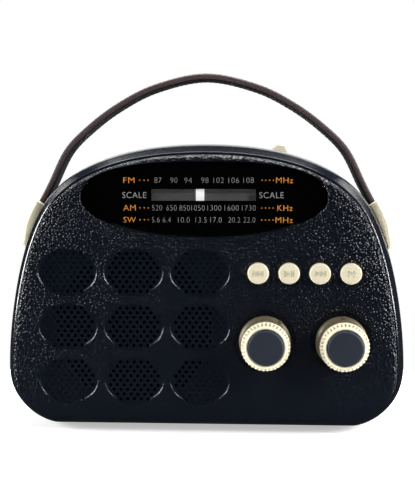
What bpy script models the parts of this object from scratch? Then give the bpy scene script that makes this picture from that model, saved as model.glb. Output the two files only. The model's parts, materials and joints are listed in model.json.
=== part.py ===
"""Portable radio with an arched case, a dial window, a nine-panel grille and a carrying strap.

Metres, +Z up. The front face looks along -Y and +X is to the right of someone facing it.
The origin is the centre of the bounding box at the surface that the radio stands on.
Depths are measured backwards from the flat front face of the case.
"""
import math

import bmesh
import bpy
from mathutils import Matrix, Vector

# Case
CASE_WIDTH = 0.200
CASE_HEIGHT = 0.142
CASE_DEPTH = 0.060
FRONT_DEPTH = 0.021          # front face to the parting line
WALL = 0.0022
FACE_INSET = 0.0082          # widest outline to the edge of the flat front face
BACK_INSET = 0.015           # widest outline to the edge of the flat back face
RIDGE_INSET = 0.0044
RIDGE_DEPTH = 0.0048
SHOULDER_X = 0.7564          # where the arch meets the side, in parts of the half width
SHOULDER_Z = 0.838           # and in parts of the height
SHOULDER_SLOPE = 0.78        # radians below level
GAP = 0.0003                 # between pieces that touch

# Feet
FOOT_RISE = 0.0008           # floor to the lowest point of the case
FOOT_RADIUS = 0.0042
FOOT_SEAT = 0.0022           # depth of a foot's socket above the case bottom beside it
FOOT_SIDE = 0.038            # case side to a foot's centre
FOOT_FRONT = 0.0275          # front face to the front feet
FOOT_BACK = 0.014            # back face to the rear feet

# Dial
DIAL_SIDE = 0.0412           # case side to the tip of the dial window
DIAL_DROP = 0.0098           # case top to the top of the window
DIAL_RISE = 0.0173           # window tips to its top
DIAL_FALL = 0.0179           # window tips to its bottom
WINDOW_THICKNESS = 0.0014   # behind the front face
PLATE_THICKNESS = 0.0008
SLOT_LENGTH = 0.0502
SLOT_HEIGHT = 0.0056
SLOT_LIFT = 0.0019           # slot centre above the window tips
POINTER_WIDTH = 0.0040
POINTER_OFFSET = -0.0017     # where the pointer rests, from the middle of its slot
CORD_DROP = 0.0105           # slot centre to the dial cord
CORD_DEPTH = 0.0125
CORD_RADIUS = 0.0004
PULLEY_RADIUS = 0.0040
PULLEY_BORE = 0.0012
PULLEY_WIDTH = 0.0030
PULLEY_SPAN = 0.082          # between the two pulleys
RAIL_RADIUS = 0.0009
RAIL_PAST_PULLEY = 0.0020
LUG_LENGTH = 0.0027
LUG_WALL = 0.0007
FRAME_MARGIN = 0.0015
CARRIAGE_HEIGHT = 0.0056

# Buttons
BUTTON_RADIUS = 0.0051
BUTTON_PITCH = 0.01473
BUTTON_SIDE = 0.0295         # case side to the last button
BUTTON_DROP = 0.0176         # window bottom to the button row
BUTTON_PROUD = 0.0018
BUTTON_TRAVEL = 0.0008
BUTTON_CLEARANCE = 0.00025

# Knobs
KNOB_RADIUS = 0.0125
KNOB_REACH = 0.0160          # front face to the tip of a knob
KNOB_PITCH = 0.0368
KNOB_SIDE = 0.0335           # case side to the right knob
KNOB_DROP = 0.0332           # button row to the knobs
KNOB_WELL = 0.0151
WELL_DEPTH = 0.0008
CAP_RADIUS = 0.0083
SPINDLE_RADIUS = 0.0030
SPINDLE_CLEARANCE = 0.0005
CORD_CLEARANCE = 0.0012      # dial cord to the volume spindle
DRUM_RADIUS = 0.0148
TUNER_SIZE = 0.020
POT_RADIUS = 0.0085

# Grille and speaker
GRILLE_SIDE = 0.01925        # case side to the first panel
GRILLE_DROP = 0.0062         # window bottom to the top panels
GRILLE_RISE = 0.01465        # case bottom to the bottom panels
GRILLE_KNOB_GAP = 0.00165    # last panel to the left knob's well
PANEL_GAP_X = 0.0029
PANEL_GAP_Z = 0.0037
PANEL_DEPTH = 0.0009
SPEAKER_RADIUS = 0.0405
SPEAKER_RIM = 0.0035
SPEAKER_DEPTH = 0.026
MAGNET_RADIUS = 0.0190

# Strap and brackets
STRAP_DEPTH = 0.031          # front face to the middle of the strap
STRAP_WIDTH = 0.011
STRAP_THICKNESS = 0.0034
STRAP_RISE = 0.0355          # case top to the top of the strap
STRAP_PIVOT_RISE = 0.0062    # bracket mouth to the line on which the strap swings
STRAP_TAIL = 0.0080          # strap inside its bracket
STRAP_SHAPE = ((0.941, 0.145), (0.842, 0.406), (0.711, 0.586), (0.529, 0.766), (0.303, 0.916))
BRACKET_WIDTH = 0.0150
BRACKET_THICKNESS = 0.0053
BRACKET_TOP = 0.782          # bracket ends, in parts of the case height
BRACKET_BOTTOM = 0.620
BRACKET_STEPS = 12
TAIL_CLEARANCE = 0.0003

# Band switch
SWITCH_SIDE = 0.0626         # case side to the middle of the lever
SWITCH_DEPTH = 0.031
LEVER_LENGTH = 0.0088
LEVER_WIDTH = 0.0070
LEVER_RISE = 0.0032
LEVER_TAPER = (0.44, 0.80)    # top of the lever, in parts of its foot
SWITCH_TRAVEL = 0.0030       # each way

# Antenna
ANTENNA_DROP = 0.0095        # case top to the antenna
ANTENNA_DEPTH = 0.0560
ANTENNA_PIVOT_SIDE = 0.054   # case side to the pivot
ANTENNA_TIP_SIDE = 0.040     # other case side to the tip
ANTENNA_RADII = (0.0025, 0.0019, 0.0013)
ANTENNA_BORE_CLEARANCE = 0.00015
ANTENNA_STEP = 0.0020        # each tube stands out of the one round it
ANTENNA_TIP_RADIUS = 0.0027
ANTENNA_TIP_LENGTH = 0.0045
SWIVEL_RADIUS = 0.0042
NOTCH_CLEARANCE = 0.0012

# Battery
CELL_RADIUS = 0.0092
CELL_LENGTH = 0.0652
CELL_MARGIN = 0.00105        # bay wall to the cell
BAY_HEIGHT = 2 * (CELL_RADIUS + CELL_MARGIN)
BAY_RISE = 0.0325            # case bottom to the middle of the bay
SPRING_LENGTH = 0.0070
SPRING_TURNS = 4
CONTACT_THICKNESS = 0.0006
DOOR_THICKNESS = 0.0018
DOOR_MARGIN = 0.0022         # door edge past the bay
BATTERY_CLEARANCE = 0.0005

# Screws
SCREW_LOW_SIDE = 0.016
SCREW_LOW_RISE = 0.0225
SCREW_HIGH_SIDE = 0.0315
SCREW_HIGH_DROP = 0.0395
SCREW_RADIUS = 0.0012
SCREW_HEAD_RADIUS = 0.0027
SCREW_HEAD_HEIGHT = 0.0018
SCREW_BITE = 0.009           # screw inside the front post
SCREW_SEAT = 0.020           # parting line to the screw head
POST_RADIUS = 0.0046
FRONT_POST_RADIUS = 0.0034

# Boards and sockets
BOARD_THICKNESS = 0.0016
BOARD_DEPTH = 0.0255
KEY_BOARD_DEPTH = 0.0072
KEY_HEIGHT = 0.0035
SOCKET_SIDE = 0.040          # case side to the column of sockets
SOCKET_TOP_RISE = 0.093
SOCKET_PITCH = 0.0125
SOCKET_LENGTH = 0.013
USB_MOUTH = (0.0122, 0.0048)
ROD_RADIUS = 0.0045
ROD_LENGTH = 0.090
ROD_DROP = 0.0235
ROD_DEPTH = 0.038

OUTLINE_STEPS = 8            # points along each curve of the case outline
STRAP_STEPS = 4              # between the points of the strap's shape
DIAL_STEPS = 40              # points round the dial window
ROUND = 24                   # sides of large round pieces
SMALL_ROUND = 12

# Places worked out from the sizes above
HALF_WIDTH = CASE_WIDTH / 2
CASE_TOP = FOOT_RISE + CASE_HEIGHT
FACE_Y = KNOB_REACH - (CASE_DEPTH + KNOB_REACH) / 2
DIAL_Z = CASE_TOP - DIAL_DROP - DIAL_RISE
DIAL_HALF = HALF_WIDTH - DIAL_SIDE
SLOT_Z = DIAL_Z + SLOT_LIFT
CORD_Z = SLOT_Z - CORD_DROP
RAIL_HALF = PULLEY_SPAN / 2 + RAIL_PAST_PULLEY
PLATE_FRONT = WINDOW_THICKNESS + GAP
FLAG_FRONT = PLATE_FRONT + PLATE_THICKNESS + GAP
BUTTON_Z = DIAL_Z - DIAL_FALL - BUTTON_DROP
KNOB_Z = BUTTON_Z - KNOB_DROP
TUNING_X = HALF_WIDTH - KNOB_SIDE
CORD_RUN = TUNING_X + PULLEY_SPAN / 2
CORD_FALL = CORD_Z - KNOB_Z - PULLEY_RADIUS
CORD_SLOPE = math.atan2(CORD_FALL, CORD_RUN) + math.asin((DRUM_RADIUS - PULLEY_RADIUS) / math.hypot(CORD_FALL, CORD_RUN))
CORD_REACH = (DRUM_RADIUS + CORD_RADIUS + SPINDLE_RADIUS + CORD_CLEARANCE) / math.sin(CORD_SLOPE)
VOLUME_X = TUNING_X - max(KNOB_PITCH, CORD_REACH)
GRILLE_LEFT = -HALF_WIDTH + GRILLE_SIDE
GRILLE_RIGHT = VOLUME_X - KNOB_WELL - GRILLE_KNOB_GAP
GRILLE_TOP = DIAL_Z - DIAL_FALL - GRILLE_DROP
GRILLE_BOTTOM = FOOT_RISE + GRILLE_RISE
PANEL_WIDTH = (GRILLE_RIGHT - GRILLE_LEFT - 2 * PANEL_GAP_X) / 3
PANEL_HEIGHT = (GRILLE_TOP - GRILLE_BOTTOM - 2 * PANEL_GAP_Z) / 3
SPEAKER_X = (GRILLE_LEFT + GRILLE_RIGHT) / 2
SPEAKER_Z = (GRILLE_TOP + GRILLE_BOTTOM) / 2
ANTENNA_Z = CASE_TOP - ANTENNA_DROP
ANTENNA_PIVOT_X = HALF_WIDTH - ANTENNA_PIVOT_SIDE
ANTENNA_TIP_X = -HALF_WIDTH + ANTENNA_TIP_SIDE
BAY_Z = FOOT_RISE + BAY_RISE
BAY_HALF = (CELL_LENGTH + SPRING_LENGTH + 2 * CONTACT_THICKNESS + 4 * BATTERY_CLEARANCE) / 2
BAY_DEPTH = CASE_DEPTH - DOOR_THICKNESS - BAY_HEIGHT
MAIN_BOARD_LEFT = SPEAKER_X + SPEAKER_RADIUS * 0.72

COLOURS = {
    "case": ((0.012, 0.014, 0.022), 0.32, 0.0),
    "cream": ((0.78, 0.72, 0.52), 0.35, 0.0),
    "navy": ((0.02, 0.025, 0.04), 0.25, 0.0),
    "bright": ((0.80, 0.77, 0.68), 0.22, 1.0),
    "window": ((0.01, 0.01, 0.012), 0.06, 0.0),
    "black": ((0.008, 0.008, 0.009), 0.55, 0.0),
    "grey": ((0.05, 0.05, 0.05), 0.60, 0.0),
    "white": ((0.90, 0.90, 0.88), 0.45, 0.0),
    "leather": ((0.065, 0.042, 0.044), 0.58, 0.0),
    "rubber": ((0.02, 0.02, 0.02), 0.85, 0.0),
    "steel": ((0.62, 0.62, 0.64), 0.28, 1.0),
    "chrome": ((0.82, 0.82, 0.84), 0.12, 1.0),
    "board": ((0.02, 0.14, 0.06), 0.45, 0.0),
    "paper": ((0.03, 0.03, 0.032), 0.80, 0.0),
    "ferrite": ((0.045, 0.045, 0.05), 0.50, 0.2),
    "copper": ((0.72, 0.34, 0.16), 0.35, 1.0),
    "wrap": ((0.05, 0.22, 0.52), 0.35, 0.0),
    "cord": ((0.75, 0.70, 0.55), 0.70, 0.0),
}


# Helpers

def clear_scene():
    for obj in list(bpy.data.objects):
        bpy.data.objects.remove(obj, do_unlink=True)


def material(name):
    found = bpy.data.materials.get(name)
    if found:
        return found
    colour, roughness, metallic = COLOURS[name]
    made = bpy.data.materials.new(name)
    made.use_nodes = True
    shader = made.node_tree.nodes["Principled BSDF"]
    shader.inputs["Base Color"].default_value = (*colour, 1.0)
    shader.inputs["Roughness"].default_value = roughness
    shader.inputs["Metallic"].default_value = metallic
    return made


def place(x, depth, z):
    return Vector((x, FACE_Y + depth, z))


def add_object(name, bm, slot, origin=None, smooth=True):
    """Turn a bmesh in world coordinates into an object whose origin is at the given point."""
    origin = origin or Vector((0.0, 0.0, 0.0))
    bmesh.ops.remove_doubles(bm, verts=bm.verts, dist=1e-7)
    bmesh.ops.recalc_face_normals(bm, faces=bm.faces)
    if bm.calc_volume(signed=True) < 0:
        bmesh.ops.reverse_faces(bm, faces=bm.faces)
    bmesh.ops.translate(bm, vec=-origin, verts=bm.verts)
    mesh = bpy.data.meshes.new(name)
    bm.to_mesh(mesh)
    bm.free()
    if smooth:
        mesh.shade_smooth()
        mesh.set_sharp_from_angle(angle=math.radians(35))
    mesh.materials.append(material(slot))
    obj = bpy.data.objects.new(name, mesh)
    obj.location = origin
    bpy.context.collection.objects.link(obj)
    return obj


def as_cutter(obj):
    obj.hide_render = True
    obj.display_type = "WIRE"
    return obj


def boolean(obj, other, operation="DIFFERENCE"):
    modifier = obj.modifiers.new(f"{operation.lower()} {other.name}", "BOOLEAN")
    modifier.operation = operation
    modifier.solver = "EXACT"
    modifier.object = as_cutter(other)


def curve_points(start, start_handle, end_handle, end, steps):
    """Points along a cubic curve, without its last one."""
    points = []
    for step in range(steps):
        t = step / steps
        s = 1 - t
        points.append(start * s ** 3 + start_handle * 3 * s * s * t + end_handle * 3 * s * t * t + end * t ** 3)
    return points


def case_half_outline():
    """Right half of the case's widest outline, from the top centre down to where the flat bottom starts."""
    width, height = HALF_WIDTH, CASE_HEIGHT
    top = Vector((0.0, CASE_TOP))
    shoulder = Vector((SHOULDER_X * width, FOOT_RISE + SHOULDER_Z * height))
    slope = Vector((math.cos(SHOULDER_SLOPE), -math.sin(SHOULDER_SLOPE)))
    side = Vector((width, FOOT_RISE + 0.2085 * height))
    foot = Vector((0.7375 * width, FOOT_RISE))
    points = curve_points(top, top + Vector((0.42 * width, 0)), shoulder - slope * 0.1234 * height,
                          shoulder, OUTLINE_STEPS)
    points += curve_points(shoulder, shoulder + slope * 0.179 * height, side + Vector((0, 0.1568 * height)),
                           side, OUTLINE_STEPS)
    points += curve_points(side, side - Vector((0, 0.1408 * height)), foot + Vector((0.0798 * width, 0)),
                           foot, OUTLINE_STEPS)
    points.append(foot)
    return points


def offset_loop(points, distance):
    """Move a closed clockwise loop's points outwards by a distance, square to the loop."""
    moved = []
    for index, point in enumerate(points):
        before = points[index - 1]
        after = points[(index + 1) % len(points)]
        along = (after - before).normalized()
        moved.append(point + Vector((-along.y, along.x)) * distance)
    return moved


def case_outline(inset):
    half = case_half_outline()
    mirrored = [Vector((-point.x, point.y)) for point in reversed(half[1:])]
    return offset_loop(half + mirrored, -inset)


def dial_outline(grow=0.0):
    """Lens shape of the dial window: a full top and an elliptical bottom."""
    points = []
    for step in range(DIAL_STEPS):
        angle = math.pi / 2 - 2 * math.pi * step / DIAL_STEPS
        power = 2 / 2.6 if math.sin(angle) > 0 else 1.0
        across = math.copysign(abs(math.cos(angle)) ** power, math.cos(angle))
        up = math.copysign(abs(math.sin(angle)) ** power, math.sin(angle))
        rise = DIAL_RISE if up > 0 else DIAL_FALL
        points.append(Vector((DIAL_HALF * across, DIAL_Z + rise * up)))
    return offset_loop(points, grow)


def rounded_box_outline(centre_x, centre_z, width, height, radius, steps=3):
    points = []
    for corner, (side, up) in enumerate(((1, 1), (1, -1), (-1, -1), (-1, 1))):
        for step in range(steps + 1):
            angle = math.pi / 2 - (corner + step / steps) * math.pi / 2
            x = centre_x + side * (width / 2 - radius) + radius * math.cos(angle)
            z = centre_z + up * (height / 2 - radius) + radius * math.sin(angle)
            points.append(Vector((x, z)))
    return points


def loft(name, sections, slot, origin=None, smooth=True):
    """Solid through clockwise loops, each an outline and its depth; several points all round."""
    bm = bmesh.new()
    rings = [[bm.verts.new(place(point.x, depth, point.y)) for point in outline] for outline, depth in sections]
    for first, second in zip(rings, rings[1:]):
        for index in range(len(first)):
            after = (index + 1) % len(first)
            bm.faces.new((first[index], first[after], second[after], second[index]))
    bm.faces.new(rings[0])
    bm.faces.new(rings[-1])
    return add_object(name, bm, slot, origin, smooth)


def prism(name, outline, front, back, slot, origin=None, smooth=True):
    return loft(name, [(outline, front), (outline, back)], slot, origin, smooth)


def box(name, centre, size, slot, turn=None, origin=None):
    bm = bmesh.new()
    bmesh.ops.create_cube(bm, size=1.0)
    bmesh.ops.scale(bm, vec=size, verts=bm.verts)
    if turn:
        bmesh.ops.rotate(bm, matrix=turn, verts=bm.verts)
    bmesh.ops.translate(bm, vec=centre, verts=bm.verts)
    return add_object(name, bm, slot, origin, smooth=False)


def turned(name, profile, centre, slot, sides=ROUND, axis="Y", origin=None):
    """Spin a profile of (radius, distance along the axis) round an axis through a centre."""
    bm = bmesh.new()
    verts = [bm.verts.new((radius, 0.0, along)) for radius, along in profile]
    edges = [bm.edges.new(pair) for pair in zip(verts, verts[1:])]
    if profile[0][0] > 0:
        edges.append(bm.edges.new((verts[-1], verts[0])))
    bmesh.ops.spin(bm, geom=verts + edges, axis=(0, 0, 1), angle=2 * math.pi, steps=sides, use_merge=True)
    turn = {"Z": Matrix.Identity(3), "Y": Matrix.Rotation(-math.pi / 2, 3, "X"),
            "X": Matrix.Rotation(math.pi / 2, 3, "Y")}[axis]
    bmesh.ops.rotate(bm, matrix=turn, verts=bm.verts)
    bmesh.ops.translate(bm, vec=centre, verts=bm.verts)
    return add_object(name, bm, slot, origin)


def rod(name, radius, start, end, centre, slot, sides=SMALL_ROUND, axis="Y", origin=None):
    profile = [(0.0, start), (radius, start), (radius, end), (0.0, end)]
    return turned(name, profile, centre, slot, sides, axis, origin)


def on_outline(height):
    """Point of the right side of the case at a height, and the direction up along it."""
    points = case_half_outline()
    for lower, upper in zip(points[::-1], points[-2::-1]):
        if lower.x > 0 and lower.y <= height < upper.y:
            share = (height - lower.y) / (upper.y - lower.y)
            return lower.lerp(upper, share), (upper - lower).normalized()
    raise ValueError("no such height on the side of the case")


def on_arch(x):
    """Point of the case's arch at a distance right of the middle, and its downward slope."""
    points = case_half_outline()
    for first, second in zip(points, points[1:]):
        if first.x <= x < second.x:
            share = (x - first.x) / (second.x - first.x)
            return first.lerp(second, share), math.atan2(first.y - second.y, second.x - first.x)
    raise ValueError("no such place on the arch")


def screw_places():
    low = (HALF_WIDTH - SCREW_LOW_SIDE, FOOT_RISE + SCREW_LOW_RISE)
    high = (HALF_WIDTH - SCREW_HIGH_SIDE, CASE_TOP - SCREW_HIGH_DROP)
    return [(side * x, z) for x, z in (low, high) for side in (-1, 1)]


def foot_places():
    x = HALF_WIDTH - FOOT_SIDE
    return [(side * x, depth) for depth in (FOOT_FRONT, CASE_DEPTH - FOOT_BACK) for side in (-1, 1)]


def outer_inset(depth):
    """How far the case's surface lies inside its widest outline, at a depth."""
    stations = [(depth_there, inset) for inset, depth_there in front_sections() + back_sections()]
    for (first_depth, first), (second_depth, second) in zip(stations, stations[1:]):
        if first_depth <= depth <= second_depth:
            share = (depth - first_depth) / max(second_depth - first_depth, 1e-9)
            return first + (second - first) * share
    raise ValueError("no such depth in the case")


# Case

def front_sections():
    return [(FACE_INSET, 0.0), (FACE_INSET - 0.0012, 0.0004), (FACE_INSET - 0.0021, 0.0015),
            (RIDGE_INSET + 0.0013, RIDGE_DEPTH - 0.0008), (RIDGE_INSET + 0.0004, RIDGE_DEPTH - 0.0006),
            (RIDGE_INSET, RIDGE_DEPTH + 0.0004), (RIDGE_INSET * 0.42, RIDGE_DEPTH + 0.0052),
            (RIDGE_INSET * 0.1, RIDGE_DEPTH + 0.0105), (0.0, FRONT_DEPTH - 0.0008), (0.0003, FRONT_DEPTH)]


def back_sections():
    length = CASE_DEPTH - FRONT_DEPTH
    return [(0.0003, FRONT_DEPTH + GAP), (0.0, FRONT_DEPTH + GAP + 0.0008), (0.0005, FRONT_DEPTH + 0.26 * length),
            (0.0018, FRONT_DEPTH + 0.52 * length), (0.0040, FRONT_DEPTH + 0.76 * length),
            (0.0068, FRONT_DEPTH + 0.90 * length), (0.0106, FRONT_DEPTH + 0.975 * length),
            (BACK_INSET, CASE_DEPTH)]


def make_front_shell():
    shell = loft("front_shell", [(case_outline(inset), depth) for inset, depth in front_sections()], "case")
    hollow = [(RIDGE_INSET + WALL + 0.0008, WALL), (RIDGE_INSET + WALL, RIDGE_DEPTH + 0.0012),
              (RIDGE_INSET * 0.42 + WALL, RIDGE_DEPTH + 0.0060),
              (WALL, FRONT_DEPTH - 0.0020), (WALL, FRONT_DEPTH + 0.0010)]
    hollow = loft("front_hollow", [(case_outline(inset), depth) for inset, depth in hollow], "case")
    for index, (x, z) in enumerate(screw_places()):
        boolean(hollow, rod(f"front_post_{index}", FRONT_POST_RADIUS, WALL / 2, FRONT_DEPTH + 0.002,
                            place(x, 0, z), "case"))
    boolean(shell, hollow)
    boolean(shell, prism("window_hole", dial_outline(GAP), -0.001, WALL + 0.001, "case"))
    for index, x in enumerate(button_places()):
        boolean(shell, rod(f"button_hole_{index}", BUTTON_RADIUS + BUTTON_CLEARANCE, -0.001, WALL + 0.001,
                           place(x, 0, BUTTON_Z), "case", sides=20))
    for index, x in enumerate((VOLUME_X, TUNING_X)):
        profile = [(0, -0.001), (KNOB_WELL, -0.001), (KNOB_WELL, WELL_DEPTH * 0.4), (KNOB_WELL - 0.0009, WELL_DEPTH),
                   (SPINDLE_RADIUS + SPINDLE_CLEARANCE, WELL_DEPTH),
                   (SPINDLE_RADIUS + SPINDLE_CLEARANCE, WALL + 0.001), (0, WALL + 0.001)]
        boolean(shell, turned(f"knob_well_{index}", profile, place(x, 0, KNOB_Z), "case"))
    for row in range(3):
        for column in range(3):
            boolean(shell, panel_recess(f"panel_{row}_{column}", row, column))
    for index, (x, z) in enumerate(screw_places()):
        boolean(shell, rod(f"front_screw_hole_{index}", SCREW_RADIUS + GAP / 3,
                           FRONT_DEPTH - SCREW_BITE - 0.001, FRONT_DEPTH + 0.001, place(x, 0, z), "case",
                           sides=12))


def panel_recess(name, row, column):
    x = GRILLE_LEFT + PANEL_WIDTH / 2 + column * (PANEL_WIDTH + PANEL_GAP_X)
    z = GRILLE_TOP - PANEL_HEIGHT / 2 - row * (PANEL_HEIGHT + PANEL_GAP_Z)
    outlines = []
    for shrink, depth in ((0.0, -0.001), (0.0006, PANEL_DEPTH)):
        points = []
        for step in range(ROUND):
            angle = -2 * math.pi * step / ROUND
            points.append(Vector((x + (PANEL_WIDTH / 2 - shrink) * math.cos(angle),
                                  z + (PANEL_HEIGHT / 2 - shrink) * math.sin(angle))))
        outlines.append((points, depth))
    return loft(name, outlines, "case")


def foot_solid(name, x, depth, grow, lift, slot="rubber"):
    """A foot, or the socket or pad that is larger than it by a margin."""
    top = FOOT_RISE + foot_inset(depth) + FOOT_SEAT * 0.75 + lift
    bottom = 0.0 if grow == 0 else -0.001
    chamfer = FOOT_RADIUS * 0.12 if grow == 0 else 0.0
    profile = [(0, bottom), (FOOT_RADIUS + grow - chamfer, bottom), (FOOT_RADIUS + grow, bottom + chamfer + 1e-6),
               (FOOT_RADIUS + grow, top), (0, top)]
    return turned(name, profile, place(x, depth, 0), slot, sides=20, axis="Z")


def foot_inset(depth):
    return min(outer_inset(depth - FOOT_RADIUS / 2), outer_inset(depth + FOOT_RADIUS / 2))


def make_rear_shell():
    shell = loft("rear_shell", [(case_outline(inset), depth) for inset, depth in back_sections()], "case")
    hollow = [(WALL + 0.0003, FRONT_DEPTH - 0.001)]
    hollow += [(inset + WALL, depth) for inset, depth in back_sections()[1:5]]
    hollow += [(BACK_INSET - 0.004 + WALL, CASE_DEPTH - 0.0045), (BACK_INSET + 0.001, CASE_DEPTH - WALL)]
    hollow = loft("rear_hollow", [(case_outline(inset), depth) for inset, depth in hollow], "case")
    for index, (x, z) in enumerate(screw_places()):
        boolean(hollow, rod(f"rear_post_{index}", POST_RADIUS, FRONT_DEPTH - 0.002, CASE_DEPTH - WALL / 2,
                            place(x, 0, z), "case"))
    boolean(hollow, antenna_notch("notch_wall", WALL))
    boolean(hollow, battery_bay("bay_wall", WALL * 0.8))
    for index, (x, depth) in enumerate(foot_places()):
        boolean(hollow, foot_solid(f"rear_foot_pad_{index}", x, depth, WALL * 0.6, WALL))
    boolean(shell, hollow)
    boolean(shell, antenna_notch("notch", 0.0))
    boolean(shell, battery_bay("bay", 0.0))
    boolean(shell, door_solid("door_seat", GAP, "case"))
    for index, (x, z) in enumerate(screw_places()):
        profile = [(0, FRONT_DEPTH - 0.002), (SCREW_RADIUS + GAP, FRONT_DEPTH - 0.002),
                   (SCREW_RADIUS + GAP, FRONT_DEPTH + SCREW_SEAT - GAP),
                   (SCREW_HEAD_RADIUS + GAP, FRONT_DEPTH + SCREW_SEAT - GAP),
                   (SCREW_HEAD_RADIUS + GAP, CASE_DEPTH + 0.002), (0, CASE_DEPTH + 0.002)]
        boolean(shell, turned(f"rear_screw_hole_{index}", profile, place(x, 0, z), "case", sides=SMALL_ROUND))
    for index, (x, depth) in enumerate(foot_places()):
        boolean(shell, foot_solid(f"rear_foot_seat_{index}", x, depth, GAP, GAP))
    for index, (width, height, _) in enumerate(socket_sizes()):
        centre = place(socket_x(), CASE_DEPTH, socket_z(index))
        boolean(shell, box(f"socket_hole_{index}", centre, (width + 2 * GAP, 0.010, height + 2 * GAP), "case"))
    point, slope = on_arch(HALF_WIDTH - SWITCH_SIDE)
    turn = Matrix.Rotation(slope, 3, "Y")
    slot_size = (LEVER_LENGTH * 0.5 + 2 * SWITCH_TRAVEL + 4 * GAP, LEVER_WIDTH * 0.4 + 4 * GAP, 0.012)
    boolean(shell, box("switch_slot", place(point.x, SWITCH_DEPTH, point.y), slot_size, "case", turn))


def antenna_notch(name, grow):
    """Space behind the top of the case that the folded antenna lies in, open upwards and backwards."""
    low_x = ANTENNA_TIP_X - ANTENNA_TIP_RADIUS - grow
    high_x = ANTENNA_PIVOT_X + SWIVEL_RADIUS + NOTCH_CLEARANCE + grow
    low_z = ANTENNA_Z - SWIVEL_RADIUS - NOTCH_CLEARANCE - grow
    front = ANTENNA_DEPTH - SWIVEL_RADIUS - NOTCH_CLEARANCE - grow
    high_z = CASE_TOP + 0.01
    back = CASE_DEPTH + 0.01
    centre = place((low_x + high_x) / 2, (front + back) / 2, (low_z + high_z) / 2)
    return box(name, centre, (high_x - low_x, back - front, high_z - low_z), "case")


def battery_bay(name, grow):
    outline = rounded_box_outline(0, BAY_Z, 2 * BAY_HALF + 2 * grow, BAY_HEIGHT + 2 * grow, 0.002 + grow)
    return prism(name, outline, BAY_DEPTH - grow, CASE_DEPTH + 0.001, "case")


def door_solid(name, grow, slot, origin=None):
    width = 2 * BAY_HALF + 2 * DOOR_MARGIN + 2 * grow
    height = BAY_HEIGHT + 2 * DOOR_MARGIN + 2 * grow
    outline = rounded_box_outline(0, BAY_Z, width, height, 0.0025 + grow)
    back = CASE_DEPTH if grow == 0 else CASE_DEPTH + 0.001
    return prism(name, outline, CASE_DEPTH - DOOR_THICKNESS - grow, back, slot, origin)


def make_feet():
    for index, (x, depth) in enumerate(foot_places()):
        foot_solid(f"foot_{index + 1}", x, depth, 0.0, 0.0)


def make_screws():
    for index, (x, z) in enumerate(screw_places()):
        head = FRONT_DEPTH + SCREW_SEAT
        slot_depth = head + SCREW_HEAD_HEIGHT
        profile = [(0, FRONT_DEPTH - SCREW_BITE), (SCREW_RADIUS * 0.4, FRONT_DEPTH - SCREW_BITE),
                   (SCREW_RADIUS, FRONT_DEPTH - SCREW_BITE + 0.0015), (SCREW_RADIUS, head),
                   (SCREW_HEAD_RADIUS, head), (SCREW_HEAD_RADIUS, slot_depth - 0.0005),
                   (SCREW_HEAD_RADIUS * 0.8, slot_depth), (0, slot_depth)]
        turned(f"case_screw_{index + 1}", profile, place(x, 0, z), "steel", sides=12)


# Dial

def make_dial():
    loft("dial_window", [(dial_outline(-0.0009), -0.0002), (dial_outline(0), 0.0002),
                         (dial_outline(0), WINDOW_THICKNESS)], "window")
    front = PLATE_FRONT
    plate = prism("dial_scale", dial_outline(-GAP), front, front + PLATE_THICKNESS, "black")
    slot = rounded_box_outline(0, SLOT_Z, SLOT_LENGTH, SLOT_HEIGHT, 0.0002, 1)
    boolean(plate, prism("scale_slot", slot, front - 0.001, front + PLATE_THICKNESS + 0.001, "black"))
    make_dial_frame()


def make_dial_frame():
    """Grey plate behind the slot, with a window for the carriage, pulley studs and two rail lugs."""
    front = FLAG_FRONT + PLATE_THICKNESS + 2 * GAP
    back = front + PLATE_THICKNESS
    width = 2 * (RAIL_HALF + LUG_WALL)
    top = SLOT_Z + SLOT_HEIGHT / 2 + FRAME_MARGIN
    bottom = CORD_Z - CARRIAGE_HEIGHT / 2 - 2 * FRAME_MARGIN - PULLEY_RADIUS
    outline = rounded_box_outline(0, (top + bottom) / 2, width, top - bottom, 0.001)
    frame = prism("dial_frame", outline, front, back, "grey", smooth=False)
    window_width = PULLEY_SPAN - 4 * PULLEY_RADIUS
    window_height = CARRIAGE_HEIGHT + 2 * FRAME_MARGIN
    window = rounded_box_outline(0, CORD_Z, window_width, window_height, 0.0005, 1)
    boolean(frame, prism("carriage_window", window, front - 0.001, back + 0.001, "grey"))
    for index, (x, z) in enumerate(pulley_places()):
        stud = CORD_DEPTH + PULLEY_WIDTH / 2 + 0.001
        boolean(frame, rod(f"pulley_stud_{index}", PULLEY_BORE - GAP / 2, back - 0.0004, stud, place(x, 0, z),
                           "grey"), "UNION")
    lug_front = back - 0.0004
    lug_back = rail_centre(0).y - FACE_Y + RAIL_RADIUS + LUG_WALL
    lug_size = (LUG_LENGTH, lug_back - lug_front, 2 * (RAIL_RADIUS + LUG_WALL))
    for side in (-1, 1):
        middle = place(side * (RAIL_HALF - LUG_LENGTH / 2), (lug_front + lug_back) / 2, CORD_Z)
        boolean(frame, box(f"rail_lug_{side}", middle, lug_size, "grey"), "UNION")
    boolean(frame, rod("lug_bore", RAIL_RADIUS + 0.0001, -RAIL_HALF - 0.01, RAIL_HALF + 0.01, rail_centre(0),
                       "grey", sides=12, axis="X"))


def pointer_x():
    return POINTER_OFFSET


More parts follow.
